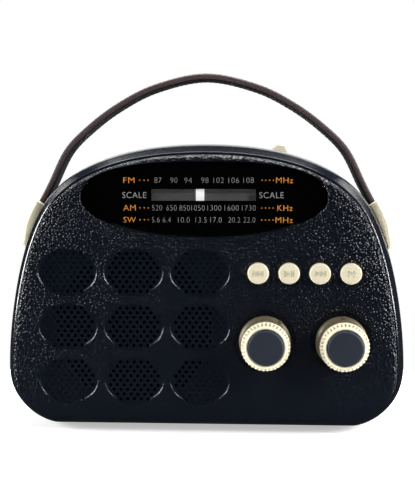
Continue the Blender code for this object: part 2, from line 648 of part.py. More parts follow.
def make_pointer():
    """A flag behind the scale's slot, a stem under it and a carriage that runs on the rail."""
    front = FLAG_FRONT
    flag_back = front + PLATE_THICKNESS
    x = pointer_x()
    bottom = CORD_Z - CARRIAGE_HEIGHT / 2 + 0.0004
    top = SLOT_Z + SLOT_HEIGHT / 2 + 0.0008
    origin = place(x, CORD_DEPTH, CORD_Z)
    flag = box("dial_pointer", place(x, (front + flag_back) / 2, (bottom + top) / 2),
               (POINTER_WIDTH, flag_back - front, top - bottom), "white", origin=origin)
    back = CORD_DEPTH + 0.0036
    block = box("pointer_block", place(x, (front + back) / 2, CORD_Z),
                (POINTER_WIDTH * 2, back - front - 0.0002, CARRIAGE_HEIGHT), "white")
    boolean(flag, block, "UNION")
    boolean(flag, rod("rail_bore", RAIL_RADIUS + 0.0001, -0.01, 0.01, rail_centre(x), "white", sides=12, axis="X"))
    boolean(flag, rod("cord_groove", CORD_RADIUS + GAP, -0.01, 0.01, place(x, CORD_DEPTH, cord_run_z()), "white",
                      sides=12, axis="X"))


def rail_centre(x):
    return place(x, CORD_DEPTH - 0.0034, CORD_Z)


def cord_run_z():
    return CORD_Z + PULLEY_RADIUS * 0.35


def make_rail():
    rod("pointer_rail", RAIL_RADIUS, -RAIL_HALF, RAIL_HALF, rail_centre(0), "steel", sides=12, axis="X")


def pulley_places():
    return [(-PULLEY_SPAN / 2, cord_run_z() - PULLEY_RADIUS), (PULLEY_SPAN / 2, cord_run_z() - PULLEY_RADIUS)]


def make_pulleys():
    for name, (x, z) in zip(("cord_pulley_left", "cord_pulley_right"), pulley_places()):
        groove = PULLEY_RADIUS - CORD_RADIUS - GAP / 2
        rim, half = PULLEY_RADIUS + 0.001, PULLEY_WIDTH / 2
        profile = [(PULLEY_BORE, -half), (rim, -half), (groove, -0.0004), (groove, 0.0004), (rim, half),
                   (PULLEY_BORE, half)]
        turned(name, profile, place(x, CORD_DEPTH, z), "white", sides=20, origin=place(x, CORD_DEPTH, z))


def tangent_points(first, first_radius, second, second_radius, side):
    """Ends of the straight run that touches two circles on the given side of the line between them."""
    apart = second - first
    reach = apart.length
    along = apart / reach
    across = Vector((-along.y, along.x)) * side
    sine = (first_radius - second_radius) / reach
    cosine = math.sqrt(1 - sine * sine)
    normal = along * sine + across * cosine
    return first + normal * first_radius, second + normal * second_radius


def arc_between(centre, radius, start, end, clockwise, steps):
    first = math.atan2(start.y - centre.y, start.x - centre.x)
    last = math.atan2(end.y - centre.y, end.x - centre.x)
    if clockwise and last > first:
        last -= 2 * math.pi
    if not clockwise and last < first:
        last += 2 * math.pi
    points = []
    for step in range(steps + 1):
        angle = first + (last - first) * step / steps
        points.append(centre + Vector((math.cos(angle), math.sin(angle))) * radius)
    return points


def make_cord():
    """Dial cord: a closed loop over the two pulleys and round the drum."""
    left, right = (Vector(point) for point in pulley_places())
    drum = Vector((TUNING_X, KNOB_Z))
    small = PULLEY_RADIUS
    large = DRUM_RADIUS
    top_left, top_right = left + Vector((0, small)), right + Vector((0, small))
    right_leave, drum_right = tangent_points(right, small, drum, large, 1)
    drum_left, left_enter = tangent_points(drum, large, left, small, 1)
    path = arc_between(left, small, left_enter, top_left, True, 5)
    path += arc_between(right, small, top_right, right_leave, True, 5)
    path += arc_between(drum, large, drum_right, drum_left, True, 14)
    bm = bmesh.new()
    rings = []
    count = len(path)
    for index, point in enumerate(path):
        along = (path[(index + 1) % count] - path[index - 1]).normalized()
        normal = Vector((-along.y, along.x))
        ring = []
        for side in range(6):
            angle = 2 * math.pi * side / 6
            out = normal * math.cos(angle) * CORD_RADIUS
            ring.append(bm.verts.new(place(point.x + out.x, CORD_DEPTH + CORD_RADIUS * math.sin(angle),
                                           point.y + out.y)))
        rings.append(ring)
    for index, ring in enumerate(rings):
        following = rings[(index + 1) % count]
        for side in range(6):
            after = (side + 1) % 6
            bm.faces.new((ring[side], ring[after], following[after], following[side]))
    add_object("dial_cord", bm, "cord")


# Knobs and buttons

def button_places():
    last = HALF_WIDTH - BUTTON_SIDE
    return [last - BUTTON_PITCH * step for step in (3, 2, 1, 0)]


def make_buttons():
    names = ("previous_button", "play_button", "next_button", "mode_button")
    shoulder = WALL + GAP
    for name, x in zip(names, button_places()):
        profile = [(0, -BUTTON_PROUD), (BUTTON_RADIUS - 0.0009, -BUTTON_PROUD),
                   (BUTTON_RADIUS - 0.0003, -BUTTON_PROUD + 0.0003), (BUTTON_RADIUS, -BUTTON_PROUD + 0.0009),
                   (BUTTON_RADIUS, shoulder), (BUTTON_RADIUS + 0.0009, shoulder),
                   (BUTTON_RADIUS + 0.0009, shoulder + 0.0008), (0.0015, shoulder + 0.0008),
                   (0.0015, key_top() - BUTTON_TRAVEL - 2 * GAP), (0, key_top() - BUTTON_TRAVEL - 2 * GAP)]
        turned(name, profile, place(x, 0, BUTTON_Z), "cream", sides=20, origin=place(x, 0, BUTTON_Z))


def key_top():
    return KEY_BOARD_DEPTH - KEY_HEIGHT + BUTTON_TRAVEL + 3 * GAP


def make_key_board():
    places = button_places()
    margin = BUTTON_RADIUS + 0.001
    centre = (places[0] + places[-1]) / 2
    width = places[-1] - places[0] + 2 * margin
    board = box("key_board", place(centre, KEY_BOARD_DEPTH + BOARD_THICKNESS / 2, BUTTON_Z),
                (width, BOARD_THICKNESS, 2 * margin), "board")
    for index, x in enumerate(places):
        profile = [(0, key_top()), (0.0016, key_top()), (0.0016, KEY_BOARD_DEPTH - 0.0012),
                   (0.0030, KEY_BOARD_DEPTH - 0.0012), (0.0030, KEY_BOARD_DEPTH + 0.0004),
                   (0, KEY_BOARD_DEPTH + 0.0004)]
        boolean(board, turned(f"key_dome_{index}", profile, place(x, 0, BUTTON_Z), "board", sides=12), "UNION")


def make_knob(name, x):
    centre = place(x, 0, KNOB_Z)
    flange = WELL_DEPTH - GAP
    bore = SPINDLE_RADIUS + GAP / 3
    rim = KNOB_RADIUS - 0.0009
    profile = [(bore, flange), (KNOB_RADIUS, flange), (KNOB_RADIUS, -0.0012), (KNOB_RADIUS - 0.0007, -0.0022),
               (rim - 0.0003, -0.0030), (rim, -0.0110), (rim - 0.0006, -0.0128), (CAP_RADIUS + 0.0019, -0.0134),
               (CAP_RADIUS + 0.0019, -0.0120), (bore, -0.0120)]
    turned(f"{name}_knob", profile, centre, "cream", origin=centre)
    ring = [(CAP_RADIUS + GAP, -0.0123), (CAP_RADIUS + 0.0016, -0.0123), (CAP_RADIUS + 0.0016, -0.0140),
            (CAP_RADIUS + 0.0010, -0.0146), (CAP_RADIUS + GAP, -0.0146)]
    turned(f"{name}_knob_ring", ring, centre, "bright", origin=centre)
    cap = [(0, -0.0123), (CAP_RADIUS, -0.0123), (CAP_RADIUS, -KNOB_REACH + 0.0008),
           (CAP_RADIUS - 0.0006, -KNOB_REACH), (0, -KNOB_REACH)]
    turned(f"{name}_knob_cap", cap, centre, "navy", origin=centre)


def spindle_end():
    return BOARD_DEPTH - 0.0088


def make_spindles():
    for name, x in (("volume", VOLUME_X), ("tuning", TUNING_X)):
        centre = place(x, 0, KNOB_Z)
        rod(f"{name}_spindle", SPINDLE_RADIUS, -0.0120 + GAP, spindle_end(), centre, "steel", sides=20,
            origin=centre)


def make_drum():
    bore = SPINDLE_RADIUS + GAP / 3
    groove = DRUM_RADIUS - CORD_RADIUS - GAP / 2
    rim = DRUM_RADIUS + 0.0012
    front, back = CORD_DEPTH - 0.0018, CORD_DEPTH + 0.0018
    profile = [(bore, front), (rim, front), (groove, CORD_DEPTH - 0.0005), (groove, CORD_DEPTH + 0.0005),
               (rim, back), (bore, back)]
    centre = place(TUNING_X, 0, KNOB_Z)
    turned("dial_drum", profile, centre, "white", origin=centre)


def make_controls():
    front = spindle_end() - 0.0020
    back = BOARD_DEPTH - GAP
    tuner = box("tuning_capacitor", place(TUNING_X, (front + back) / 2, KNOB_Z),
                (TUNER_SIZE, back - front, TUNER_SIZE), "white")
    boolean(tuner, rod("tuner_bore", SPINDLE_RADIUS + GAP / 2, front - 0.001, spindle_end() + GAP,
                       place(TUNING_X, 0, KNOB_Z), "white", sides=20))
    bore = SPINDLE_RADIUS + GAP / 2
    profile = [(0, back), (POT_RADIUS, back), (POT_RADIUS, front + 0.001), (POT_RADIUS - 0.001, front),
               (bore, front), (bore, spindle_end() + GAP), (0, spindle_end() + GAP)]
    turned("volume_control", profile, place(VOLUME_X, 0, KNOB_Z), "steel", sides=24)


# Speaker

def make_speaker():
    centre = place(SPEAKER_X, 0, SPEAKER_Z)
    front = WALL + GAP
    back = front + SPEAKER_DEPTH
    wall = 0.0010
    neck = MAGNET_RADIUS * 0.85
    inner = SPEAKER_RADIUS - SPEAKER_RIM
    frame = [(inner, front), (SPEAKER_RADIUS, front), (SPEAKER_RADIUS, front + 0.0016),
             (inner + wall, front + 0.0016), (inner + wall, front + 0.0044), (neck + wall, back - 0.0105),
             (neck + wall, back - 0.0080),
             (0.0105, back - 0.0080), (0.0105, back - 0.0080 - wall), (neck, back - 0.0080 - wall),
             (neck, back - 0.0110), (inner, front + 0.0036)]
    turned("speaker_frame", frame, centre, "steel")
    edge = inner - GAP * 2
    sheet = 0.0006
    cone = [(0, front + 0.0080), (0.0050, front + 0.0085), (0.0090, front + 0.0110), (edge - 0.0055, front + 0.0030),
            (edge - 0.0028, front + 0.0012), (edge, front + 0.0026), (edge, front + 0.0026 + sheet),
            (edge - 0.0028, front + 0.0012 + sheet), (edge - 0.0055, front + 0.0032 + sheet),
            (0.0093, front + 0.0110 + sheet), (0.0090, front + 0.0150), (0.0082, front + 0.0150),
            (0.0082, front + 0.0116), (0.0045, front + 0.0085 + sheet), (0, front + 0.0080 + sheet)]
    turned("speaker_cone", cone, centre, "paper")
    magnet = [(0.0, back), (MAGNET_RADIUS, back), (MAGNET_RADIUS, back - 0.0080 + GAP),
              (0.0099, back - 0.0080 + GAP), (0.0099, back - 0.0020), (0.0072, back - 0.0020),
              (0.0072, front + 0.0128), (0.0, front + 0.0128)]
    turned("speaker_magnet", magnet, centre, "ferrite", sides=24)


# Boards, aerial and sockets

def make_main_board():
    left = MAIN_BOARD_LEFT
    right = HALF_WIDTH - SCREW_LOW_SIDE - POST_RADIUS - 0.002
    bottom = KNOB_Z - KNOB_WELL
    top = CASE_TOP - SCREW_HIGH_DROP - POST_RADIUS - 0.0015
    board = box("main_board", place((left + right) / 2, BOARD_DEPTH + BOARD_THICKNESS / 2, (bottom + top) / 2),
                (right - left, BOARD_THICKNESS, top - bottom), "board")
    chips = ((0.30, 0.72, 0.012, 0.0024), (0.62, 0.80, 0.008, 0.0060), (0.20, 0.30, 0.009, 0.0040),
             (0.80, 0.30, 0.007, 0.0080))
    for index, (across, up, size, height) in enumerate(chips):
        x = left + (right - left) * across
        z = bottom + (top - bottom) * up
        boolean(board, box(f"chip_{index}", place(x, BOARD_DEPTH + BOARD_THICKNESS + height / 2 - 0.0002, z),
                           (size, height + 0.0004, size), "board"), "UNION")


def make_ferrite_aerial():
    centre = place(0, ROD_DEPTH, CASE_TOP - ROD_DROP)
    rod("ferrite_rod", ROD_RADIUS, -ROD_LENGTH / 2, ROD_LENGTH / 2, centre, "ferrite", axis="X")
    bore = ROD_RADIUS + GAP
    profile = [(bore, 0.012), (bore + 0.0015, 0.012), (bore + 0.0015, 0.034), (bore, 0.034)]
    turned("aerial_coil", profile, centre, "copper", sides=SMALL_ROUND, axis="X")


def socket_x():
    return HALF_WIDTH - SOCKET_SIDE


def socket_z(index):
    return FOOT_RISE + SOCKET_TOP_RISE - index * SOCKET_PITCH


def socket_sizes():
    """Width, height and name of each socket, from the top down."""
    return [(0.0070, 0.0070, "jack_socket"), (0.0142, 0.0068, "usb_socket"), (0.0145, 0.0034, "card_socket"),
            (0.0086, 0.0038, "power_socket")]


def make_sockets():
    back = CASE_DEPTH - 0.0004
    for index, (width, height, name) in enumerate(socket_sizes()):
        centre = place(socket_x(), back - SOCKET_LENGTH / 2, socket_z(index))
        socket = box(name, centre, (width, SOCKET_LENGTH, height), "steel")
        mouth = place(socket_x(), back - 0.0040, socket_z(index))
        if name == "jack_socket":
            boolean(socket, rod("jack_bore", 0.0018, -0.0050, 0.0060, mouth, "steel", sides=SMALL_ROUND))
        elif name == "usb_socket":
            boolean(socket, box("usb_mouth", mouth, (USB_MOUTH[0], 0.0140, USB_MOUTH[1]), "steel"))
        else:
            boolean(socket, box(f"{name}_mouth", mouth, (width - 0.0016, 0.0120, height - 0.0016), "steel"))


# Battery

def make_battery():
    depth = BAY_DEPTH + BAY_HEIGHT / 2
    left = -BAY_HALF + BATTERY_CLEARANCE
    plate_height = BAY_HEIGHT * 0.7
    spring_start = left + CONTACT_THICKNESS + GAP
    cell_start = spring_start + SPRING_LENGTH - 0.0004
    cell_end = cell_start + CELL_LENGTH
    box("battery_contact", place(cell_end + GAP + CONTACT_THICKNESS / 2, depth, BAY_Z),
        (CONTACT_THICKNESS, plate_height, plate_height), "steel")
    centre = place(0, depth, BAY_Z)
    nub = 0.0030
    profile = [(0, cell_start), (CELL_RADIUS - 0.0005, cell_start), (CELL_RADIUS, cell_start + 0.0005),
               (CELL_RADIUS, cell_end - 0.0020), (CELL_RADIUS - 0.0008, cell_end - 0.0011),
               (nub, cell_end - 0.0011), (nub, cell_end), (0, cell_end)]
    turned("battery_cell", profile, centre, "wrap", axis="X", sides=24)
    make_battery_spring(left, spring_start, cell_start - GAP, centre)


def make_battery_spring(left, start, end, centre):
    """A conical spring of round wire that stands on its own square contact plate."""
    wire = 0.00035
    around = 5
    plate = BAY_HEIGHT * 0.7
    spring = box("battery_spring", Vector((left + CONTACT_THICKNESS / 2, centre.y, centre.z)),
                 (CONTACT_THICKNESS, plate, plate), "steel")
    bm = bmesh.new()
    steps = SPRING_TURNS * 10
    first = start - GAP - CONTACT_THICKNESS / 2
    last = end - wire
    rings = []
    for step in range(steps + 1):
        share = step / steps
        angle = 2 * math.pi * SPRING_TURNS * share
        radius = 0.0058 - 0.0028 * share
        out = Vector((0, math.cos(angle), math.sin(angle)))
        spot = Vector((first + (last - first) * share, centre.y, centre.z)) + out * radius
        ring = []
        for side in range(around):
            turn = 2 * math.pi * side / around
            ring.append(bm.verts.new(spot + out * wire * math.cos(turn) + Vector((wire * math.sin(turn), 0, 0))))
        rings.append(ring)
    for ring, following in zip(rings, rings[1:]):
        for side in range(around):
            after = (side + 1) % around
            bm.faces.new((ring[side], ring[after], following[after], following[side]))
    bm.faces.new(rings[0])
    bm.faces.new(rings[-1])
    boolean(spring, add_object("spring_coil", bm, "steel"), "UNION")


def make_door():
    hinge = place(0, CASE_DEPTH, BAY_Z - BAY_HEIGHT / 2 - DOOR_MARGIN)
    door_solid("battery_door", 0.0, "case", origin=hinge)


# Band switch

def make_band_switch():
    point, slope = on_arch(HALF_WIDTH - SWITCH_SIDE)
    turn = Matrix.Rotation(slope, 3, "Y")
    surface = place(point.x, SWITCH_DEPTH, point.y - outer_inset(SWITCH_DEPTH))
    up = turn @ Vector((0, 0, 1))
    stem_foot = WALL + 0.0036
    bm = bmesh.new()
    bmesh.ops.create_cube(bm, size=1.0)
    bmesh.ops.scale(bm, vec=(LEVER_LENGTH, LEVER_WIDTH, LEVER_RISE), verts=bm.verts)
    for vert in bm.verts:
        if vert.co.z > 0:
            vert.co.x *= LEVER_TAPER[0]
            vert.co.y *= LEVER_TAPER[1]
    bmesh.ops.translate(bm, vec=(0, 0, LEVER_RISE / 2 + 2 * GAP), verts=bm.verts)
    bmesh.ops.rotate(bm, matrix=turn, verts=bm.verts)
    bmesh.ops.translate(bm, vec=surface, verts=bm.verts)
    lever = add_object("band_switch_lever", bm, "cream", origin=surface, smooth=False)
    stem_top = LEVER_RISE / 2
    stem_size = (LEVER_LENGTH * 0.5, LEVER_WIDTH * 0.4, stem_top + stem_foot)
    boolean(lever, box("lever_stem", surface + up * (stem_top - stem_foot) / 2, stem_size, "cream", turn), "UNION")
    body_top = -WALL - 0.0012
    body_height = 0.0060
    body = box("band_switch_body", surface + up * (body_top - body_height / 2),
               (LEVER_LENGTH * 0.5 + 2 * SWITCH_TRAVEL + 0.005, LEVER_WIDTH * 0.4 + 0.0040, body_height),
               "steel", turn)
    slot = (LEVER_LENGTH * 0.5 + 2 * SWITCH_TRAVEL + 4 * GAP, LEVER_WIDTH * 0.4 + 2 * GAP, 0.0080)
    boolean(body, box("switch_track", surface + up * (-stem_foot - GAP + 0.0040), slot, "steel", turn))


# Antenna

def make_antenna():
    pivot = place(ANTENNA_PIVOT_X, ANTENNA_DEPTH, ANTENNA_Z)
    wall_depth = ANTENNA_DEPTH - SWIVEL_RADIUS - NOTCH_CLEARANCE
    jaw = SWIVEL_RADIUS * 2
    blade = 0.0024
    slot = blade + 2 * GAP
    swivel_end = ANTENNA_DEPTH + 0.55 * SWIVEL_RADIUS
    base = place(ANTENNA_PIVOT_X, 0, ANTENNA_Z)
    swivel = turned("antenna_swivel", [(0, wall_depth + GAP), (SWIVEL_RADIUS - 0.0004, wall_depth + GAP),
                                       (SWIVEL_RADIUS, wall_depth + GAP + 0.0004),
                                       (SWIVEL_RADIUS, swivel_end - 0.0006), (SWIVEL_RADIUS - 0.0006, swivel_end),
                                       (0, swivel_end)], base, "chrome", sides=24, origin=base)
    reach = SWIVEL_RADIUS - 0.0010
    centre = pivot + Vector((-jaw / 2 + reach, jaw / 2 - reach, 0))
    boolean(swivel, box("swivel_slot", centre, (jaw, jaw, slot), "chrome"))
    pin_radius = 0.0008
    boolean(swivel, rod("swivel_pin", pin_radius, -slot, slot, pivot, "chrome", sides=12, axis="Z"), "UNION")
    start = -SWIVEL_RADIUS - 2 * GAP
    ends = antenna_ends()
    first_end, outer, bore = ends[0], ANTENNA_RADII[0], ANTENNA_RADII[1] + ANTENNA_BORE_CLEARANCE
    length = ANTENNA_PIVOT_X - first_end
    profile = [(0, start - 0.004), (bore, start - 0.004), (bore, -length), (outer, -length), (outer, start - 0.0006),
               (outer - 0.0006, start), (0, start)]
    tube = turned("antenna_tube_1", profile, pivot, "chrome", sides=SMALL_ROUND, axis="X", origin=pivot)
    eye_radius = reach - 2 * GAP
    eye = rod("antenna_eye", eye_radius, -blade / 2, blade / 2, pivot, "chrome", sides=SMALL_ROUND, axis="Z")
    neck = box("antenna_neck", pivot + Vector((start / 2 - 0.0010, 0, 0)), (-start + 0.002, 2 * eye_radius * 0.8, blade),
               "chrome")
    boolean(tube, eye, "UNION")
    boolean(tube, neck, "UNION")
    boolean(tube, rod("pin_hole", pin_radius + GAP / 2, -blade, blade, pivot, "chrome", sides=12, axis="Z"))
    inner_start = start - 0.004 - GAP
    bore = ANTENNA_RADII[2] + ANTENNA_BORE_CLEARANCE
    middle_end = ends[1] - ANTENNA_PIVOT_X
    profile = [(0, inner_start - 0.002), (bore, inner_start - 0.002), (bore, middle_end),
               (ANTENNA_RADII[1], middle_end), (ANTENNA_RADII[1], inner_start), (0, inner_start)]
    turned("antenna_tube_2", profile, pivot, "chrome", sides=SMALL_ROUND, axis="X", origin=pivot)
    tip_start, tip_end = ends[2] - ANTENNA_PIVOT_X, ANTENNA_TIP_X - ANTENNA_PIVOT_X
    rod_start = inner_start - 0.002 - GAP
    tip = ANTENNA_TIP_RADIUS
    profile = [(0, rod_start), (ANTENNA_RADII[2], rod_start), (ANTENNA_RADII[2], tip_start), (tip * 0.8, tip_start),
               (tip, tip_start - tip * 0.25), (tip, tip_end + tip * 0.5), (tip * 0.7, tip_end + tip * 0.1),
               (0, tip_end)]
    turned("antenna_tube_3", profile, pivot, "chrome", sides=SMALL_ROUND, axis="X", origin=pivot)


def antenna_ends():
    """Where the first and second tube end, and where the tip button starts."""
    button = ANTENNA_TIP_X + ANTENNA_TIP_LENGTH
    return [button + 2 * ANTENNA_STEP, button + ANTENNA_STEP, button]


# Strap

def bracket_station(share, lift):
    """A point beside the case, from the bracket's bottom (0) to its mouth (1), off the case's surface."""
    height = FOOT_RISE + CASE_HEIGHT * (BRACKET_BOTTOM + (BRACKET_TOP - BRACKET_BOTTOM) * share)
    point, along = on_outline(height)
    return point + Vector((along.y, -along.x)) * lift, along


def strap_offset():
    """Case outline to the middle of the strap's thickness in the bracket."""
    return BRACKET_THICKNESS / 2 + GAP


def strap_path():
    """Middle line of the right half of the strap, from its tail in the bracket up to the top centre."""
    mouth, along = bracket_station(1.0, strap_offset())
    apex = Vector((0.0, CASE_TOP + STRAP_RISE - STRAP_THICKNESS / 2))
    rise = apex.y - mouth.y
    stops = [mouth] + [Vector((mouth.x * across, mouth.y + rise * up)) for across, up in STRAP_SHAPE] + [apex]
    first_reach = (stops[1] - mouth).length
    around = [mouth - along * first_reach] + stops + [Vector((-stops[-2].x, stops[-2].y))]
    path = [mouth - along * STRAP_TAIL, mouth - along * STRAP_TAIL / 2]
    for before, start, end, after in zip(around, stops, stops[1:], around[3:]):
        path += curve_points(start, start + (end - before) / 6, end - (after - start) / 6, end, STRAP_STEPS)
    path.append(apex)
    return path


def strap_solid(name, path, width, thickness, slot="leather", origin=None):
    """A band with eased edges along a path in the XZ plane."""
    bm = bmesh.new()
    ease = thickness * 0.28
    rings = []
    for index, point in enumerate(path):
        before = path[max(index - 1, 0)]
        after = path[min(index + 1, len(path) - 1)]
        along = (after - before).normalized()
        out = Vector((along.y, -along.x))
        ring = []
        for side, up in ((-1, -1), (-1, 1), (1, 1), (1, -1)):
            corners = [(side * (width / 2 - ease), up * thickness / 2), (side * width / 2, up * (thickness / 2 - ease))]
            if side * up < 0:
                corners.reverse()
            for across, lift in corners:
                spot = point + out * lift
                ring.append(bm.verts.new(place(spot.x, STRAP_DEPTH + across, spot.y)))
        rings.append(ring)
    for ring, following in zip(rings, rings[1:]):
        for index in range(len(ring)):
            after = (index + 1) % len(ring)
            bm.faces.new((ring[index], ring[after], following[after], following[index]))
    bm.faces.new(rings[0])
    bm.faces.new(rings[-1])
    return add_object(name, bm, slot, origin)


def pivot_z():
    return bracket_station(1.0, 0)[0].y + STRAP_PIVOT_RISE


def make_strap():
    half = strap_path()
    mirrored = [Vector((-point.x, point.y)) for point in reversed(half[:-1])]
    pivot = place(0, STRAP_DEPTH, pivot_z())
    round_end = STRAP_WIDTH / 2 + 0.0002
    strap = strap_solid("strap", half + mirrored, STRAP_WIDTH, STRAP_THICKNESS, origin=pivot)
    below = box("below_pivot", pivot - Vector((0, 0, 0.05)), (3 * HALF_WIDTH, 0.05, 0.1), "leather")
    boolean(below, rod("strap_end_round", round_end, -1.4 * HALF_WIDTH, 1.4 * HALF_WIDTH, pivot, "leather",
                       sides=40, axis="X"))
    boolean(strap, below)
    for name, side in (("left", -1), ("right", 1)):
        tail = [Vector((side * point.x, point.y)) for point in half[:9]]
        end = strap_solid(f"strap_end_{name}", tail if side > 0 else tail[::-1], STRAP_WIDTH, STRAP_THICKNESS)
        above = box(f"above_pivot_{name}", pivot + Vector((0, 0, 0.05)), (3 * HALF_WIDTH, 0.05, 0.1), "leather")
        boolean(above, rod(f"strap_end_hollow_{name}", round_end + GAP, -1.4 * HALF_WIDTH, 1.4 * HALF_WIDTH, pivot,
                           "leather", sides=40, axis="X"), "UNION")
        boolean(end, above)


def make_brackets():
    for name, side in (("left", -1), ("right", 1)):
        inner, outer = [], []
        for step in range(BRACKET_STEPS + 1):
            share = step / BRACKET_STEPS
            lower_round = math.sqrt(max(0.0, 1 - (1 - min(share / 0.22, 1.0)) ** 2))
            upper_round = 1 - 0.25 * max(0.0, (share - 0.86) / 0.14) ** 2
            lift = GAP + BRACKET_THICKNESS * max(0.30, lower_round) * upper_round
            inner.append(bracket_station(share, GAP)[0])
            outer.append(bracket_station(share, lift)[0])
        outline = [Vector((side * point.x, point.y)) for point in inner + outer[::-1]]
        centre = sum(outline, Vector((0, 0))) / len(outline)
        half = BRACKET_WIDTH / 2
        ease = 0.0012
        eased = [point + (centre - point).normalized() * ease * 0.5 for point in outline]
        if side > 0:
            outline.reverse()
            eased.reverse()
        bracket = loft(f"strap_bracket_{name}", [(eased, STRAP_DEPTH - half), (outline, STRAP_DEPTH - half + ease),
                                                 (outline, STRAP_DEPTH + half - ease), (eased, STRAP_DEPTH + half)],
                       "cream")
        mouth, along = bracket_station(1.0, strap_offset())
        path = [mouth - along * (STRAP_TAIL + TAIL_CLEARANCE), mouth + along * 0.004]
        path = [Vector((side * point.x, point.y)) for point in path]
        if side < 0:
            path.reverse()
        pocket = strap_solid(f"bracket_pocket_{name}", path, STRAP_WIDTH + 2 * TAIL_CLEARANCE,
                             STRAP_THICKNESS + 2 * TAIL_CLEARANCE)
        boolean(bracket, pocket)


def main():
    clear_scene()
    make_front_shell()
    make_rear_shell()
    make_feet()
    make_screws()
    make_dial()
    make_pointer()
    make_rail()
    make_pulleys()
    make_cord()
    make_buttons()
    make_key_board()
    make_knob("volume", VOLUME_X)
    make_knob("tuning", TUNING_X)
    make_spindles()
    make_drum()
    make_controls()
    make_speaker()
    make_main_board()
    make_ferrite_aerial()
    make_sockets()
    make_battery()
    make_door()
    make_band_switch()
    make_antenna()
    make_brackets()
    make_strap()


main()
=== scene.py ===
import json
import math

import bmesh
import bpy
from mathutils import Matrix, Vector


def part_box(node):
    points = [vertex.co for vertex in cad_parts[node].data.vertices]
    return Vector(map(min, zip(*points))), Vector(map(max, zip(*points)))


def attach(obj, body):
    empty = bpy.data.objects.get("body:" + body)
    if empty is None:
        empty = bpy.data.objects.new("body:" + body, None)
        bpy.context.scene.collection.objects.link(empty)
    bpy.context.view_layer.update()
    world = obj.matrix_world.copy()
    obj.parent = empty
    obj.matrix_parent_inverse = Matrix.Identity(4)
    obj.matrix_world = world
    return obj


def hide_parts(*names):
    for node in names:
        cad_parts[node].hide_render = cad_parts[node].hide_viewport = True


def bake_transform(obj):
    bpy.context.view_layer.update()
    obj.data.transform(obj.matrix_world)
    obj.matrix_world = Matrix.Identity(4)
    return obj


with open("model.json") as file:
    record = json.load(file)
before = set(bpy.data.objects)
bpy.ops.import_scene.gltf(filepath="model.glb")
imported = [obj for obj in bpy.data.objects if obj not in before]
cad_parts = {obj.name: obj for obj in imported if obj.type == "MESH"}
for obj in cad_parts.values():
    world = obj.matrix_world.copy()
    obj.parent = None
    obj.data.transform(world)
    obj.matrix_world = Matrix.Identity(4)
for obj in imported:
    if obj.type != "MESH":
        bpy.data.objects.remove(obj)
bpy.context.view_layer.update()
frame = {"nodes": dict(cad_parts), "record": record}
nodes = frame["nodes"]
bodyOf = {node: body for body, members in frame["record"]["behaviour"]["bodies"].items() for node in members}

# Lengths are metres, the front looks towards -Y, and a depth runs back from the face.
faceY = -0.022
clearance = 0.0003


def place(x, depth, z):
    return Vector((x, faceY + depth, z))


# A shader socket or a number that arithmetic can be written with.
class Value:

    def __init__(self, material, socket):
        self.material = material
        self.socket = socket

    def math(self, operation, other):
        node = self.material.add("ShaderNodeMath", {0: self, 1: other}, operation=operation)
        return Value(self.material, node.outputs[0])

    def __add__(self, other):
        return self.math("ADD", other)

    __radd__ = __add__

    def __sub__(self, other):
        return self.math("SUBTRACT", other)

    def __rsub__(self, other):
        return (self * -1) + other

    def __mul__(self, other):
        return self.math("MULTIPLY", other)

    __rmul__ = __mul__

    # 0 below low and 1 above high, smooth between.
    def above(self, low, high):
        node = self.material.add("ShaderNodeMapRange", {"Value": self, "From Min": low, "From Max": high},
                                 interpolation_type="SMOOTHSTEP")
        return Value(self.material, node.outputs["Result"])

    def between(self, low, high, edge):
        return self.above(low - edge, low) * (1 - self.above(high, high + edge))


# A node material with a Principled shader.
class Finish:

    def __init__(self, name, colour, roughness, metallic=0.0, coat=0.0, specular=0.5, alpha=1.0):
        self.data = bpy.data.materials.new(name)
        self.data.use_nodes = True
        self.data.diffuse_color = (*colour, 1.0)
        self.node_tree = self.data.node_tree
        self.shader = self.node_tree.nodes["Principled BSDF"]
        self.set("Base Color", (*colour, 1.0))
        self.set("Roughness", roughness)
        self.set("Metallic", metallic)
        self.set("Coat Weight", coat)
        self.set("Specular IOR Level", specular)
        self.set("Alpha", alpha)

    def set(self, name, value):
        self.feed(self.shader.inputs[name], value)

    def feed(self, socket, value):
        if isinstance(value, Value):
            value = value.socket
        if isinstance(value, bpy.types.NodeSocket):
            self.node_tree.links.new(value, socket)
        else:
            socket.default_value = value

    def add(self, kind, inputs=None, **settings):
        node = self.node_tree.nodes.new(kind)
        for name, value in settings.items():
            setattr(node, name, value)
        for name, value in (inputs or {}).items():
            self.feed(node.inputs[name], value)
        return node

    def position(self):
        return self.add("ShaderNodeTexCoord").outputs["Object"]

    def axis(self, name):
        split = self.add("ShaderNodeSeparateXYZ", {"Vector": self.position()})
        return Value(self, split.outputs[name])

    def noise(self, scale, detail=2.0, roughness=0.5):
        node = self.add("ShaderNodeTexNoise", {"Vector": self.position(), "Scale": scale, "Detail": detail,
                                               "Roughness": roughness})
        return Value(self, node.outputs["Fac"])

    def cells(self, scale, feature, **inputs):
        node = self.add("ShaderNodeTexVoronoi", {"Vector": self.position(), "Scale": scale, **inputs},
                        feature=feature)
        return Value(self, node.outputs["Distance"])

    def mix(self, factor, first, second):
        node = self.add("ShaderNodeMix", {0: factor, 6: (*first, 1.0), 7: (*second, 1.0)}, data_type="RGBA")
        return node.outputs[2]

    def bump(self, height, distance):
        return self.add("ShaderNodeBump", {"Height": height, "Distance": distance}).outputs["Normal"]

    def use(self, *objects):
        for obj in objects:
            obj.data.materials.clear()
            obj.data.materials.append(self.data)


def curvePoints(start, startHandle, endHandle, end, steps):
    points = []
    for step in range(steps):
        t = step / steps
        s = 1 - t
        points.append(start * s ** 3 + startHandle * 3 * s * s * t + endHandle * 3 * s * t * t + end * t ** 3)
    return points


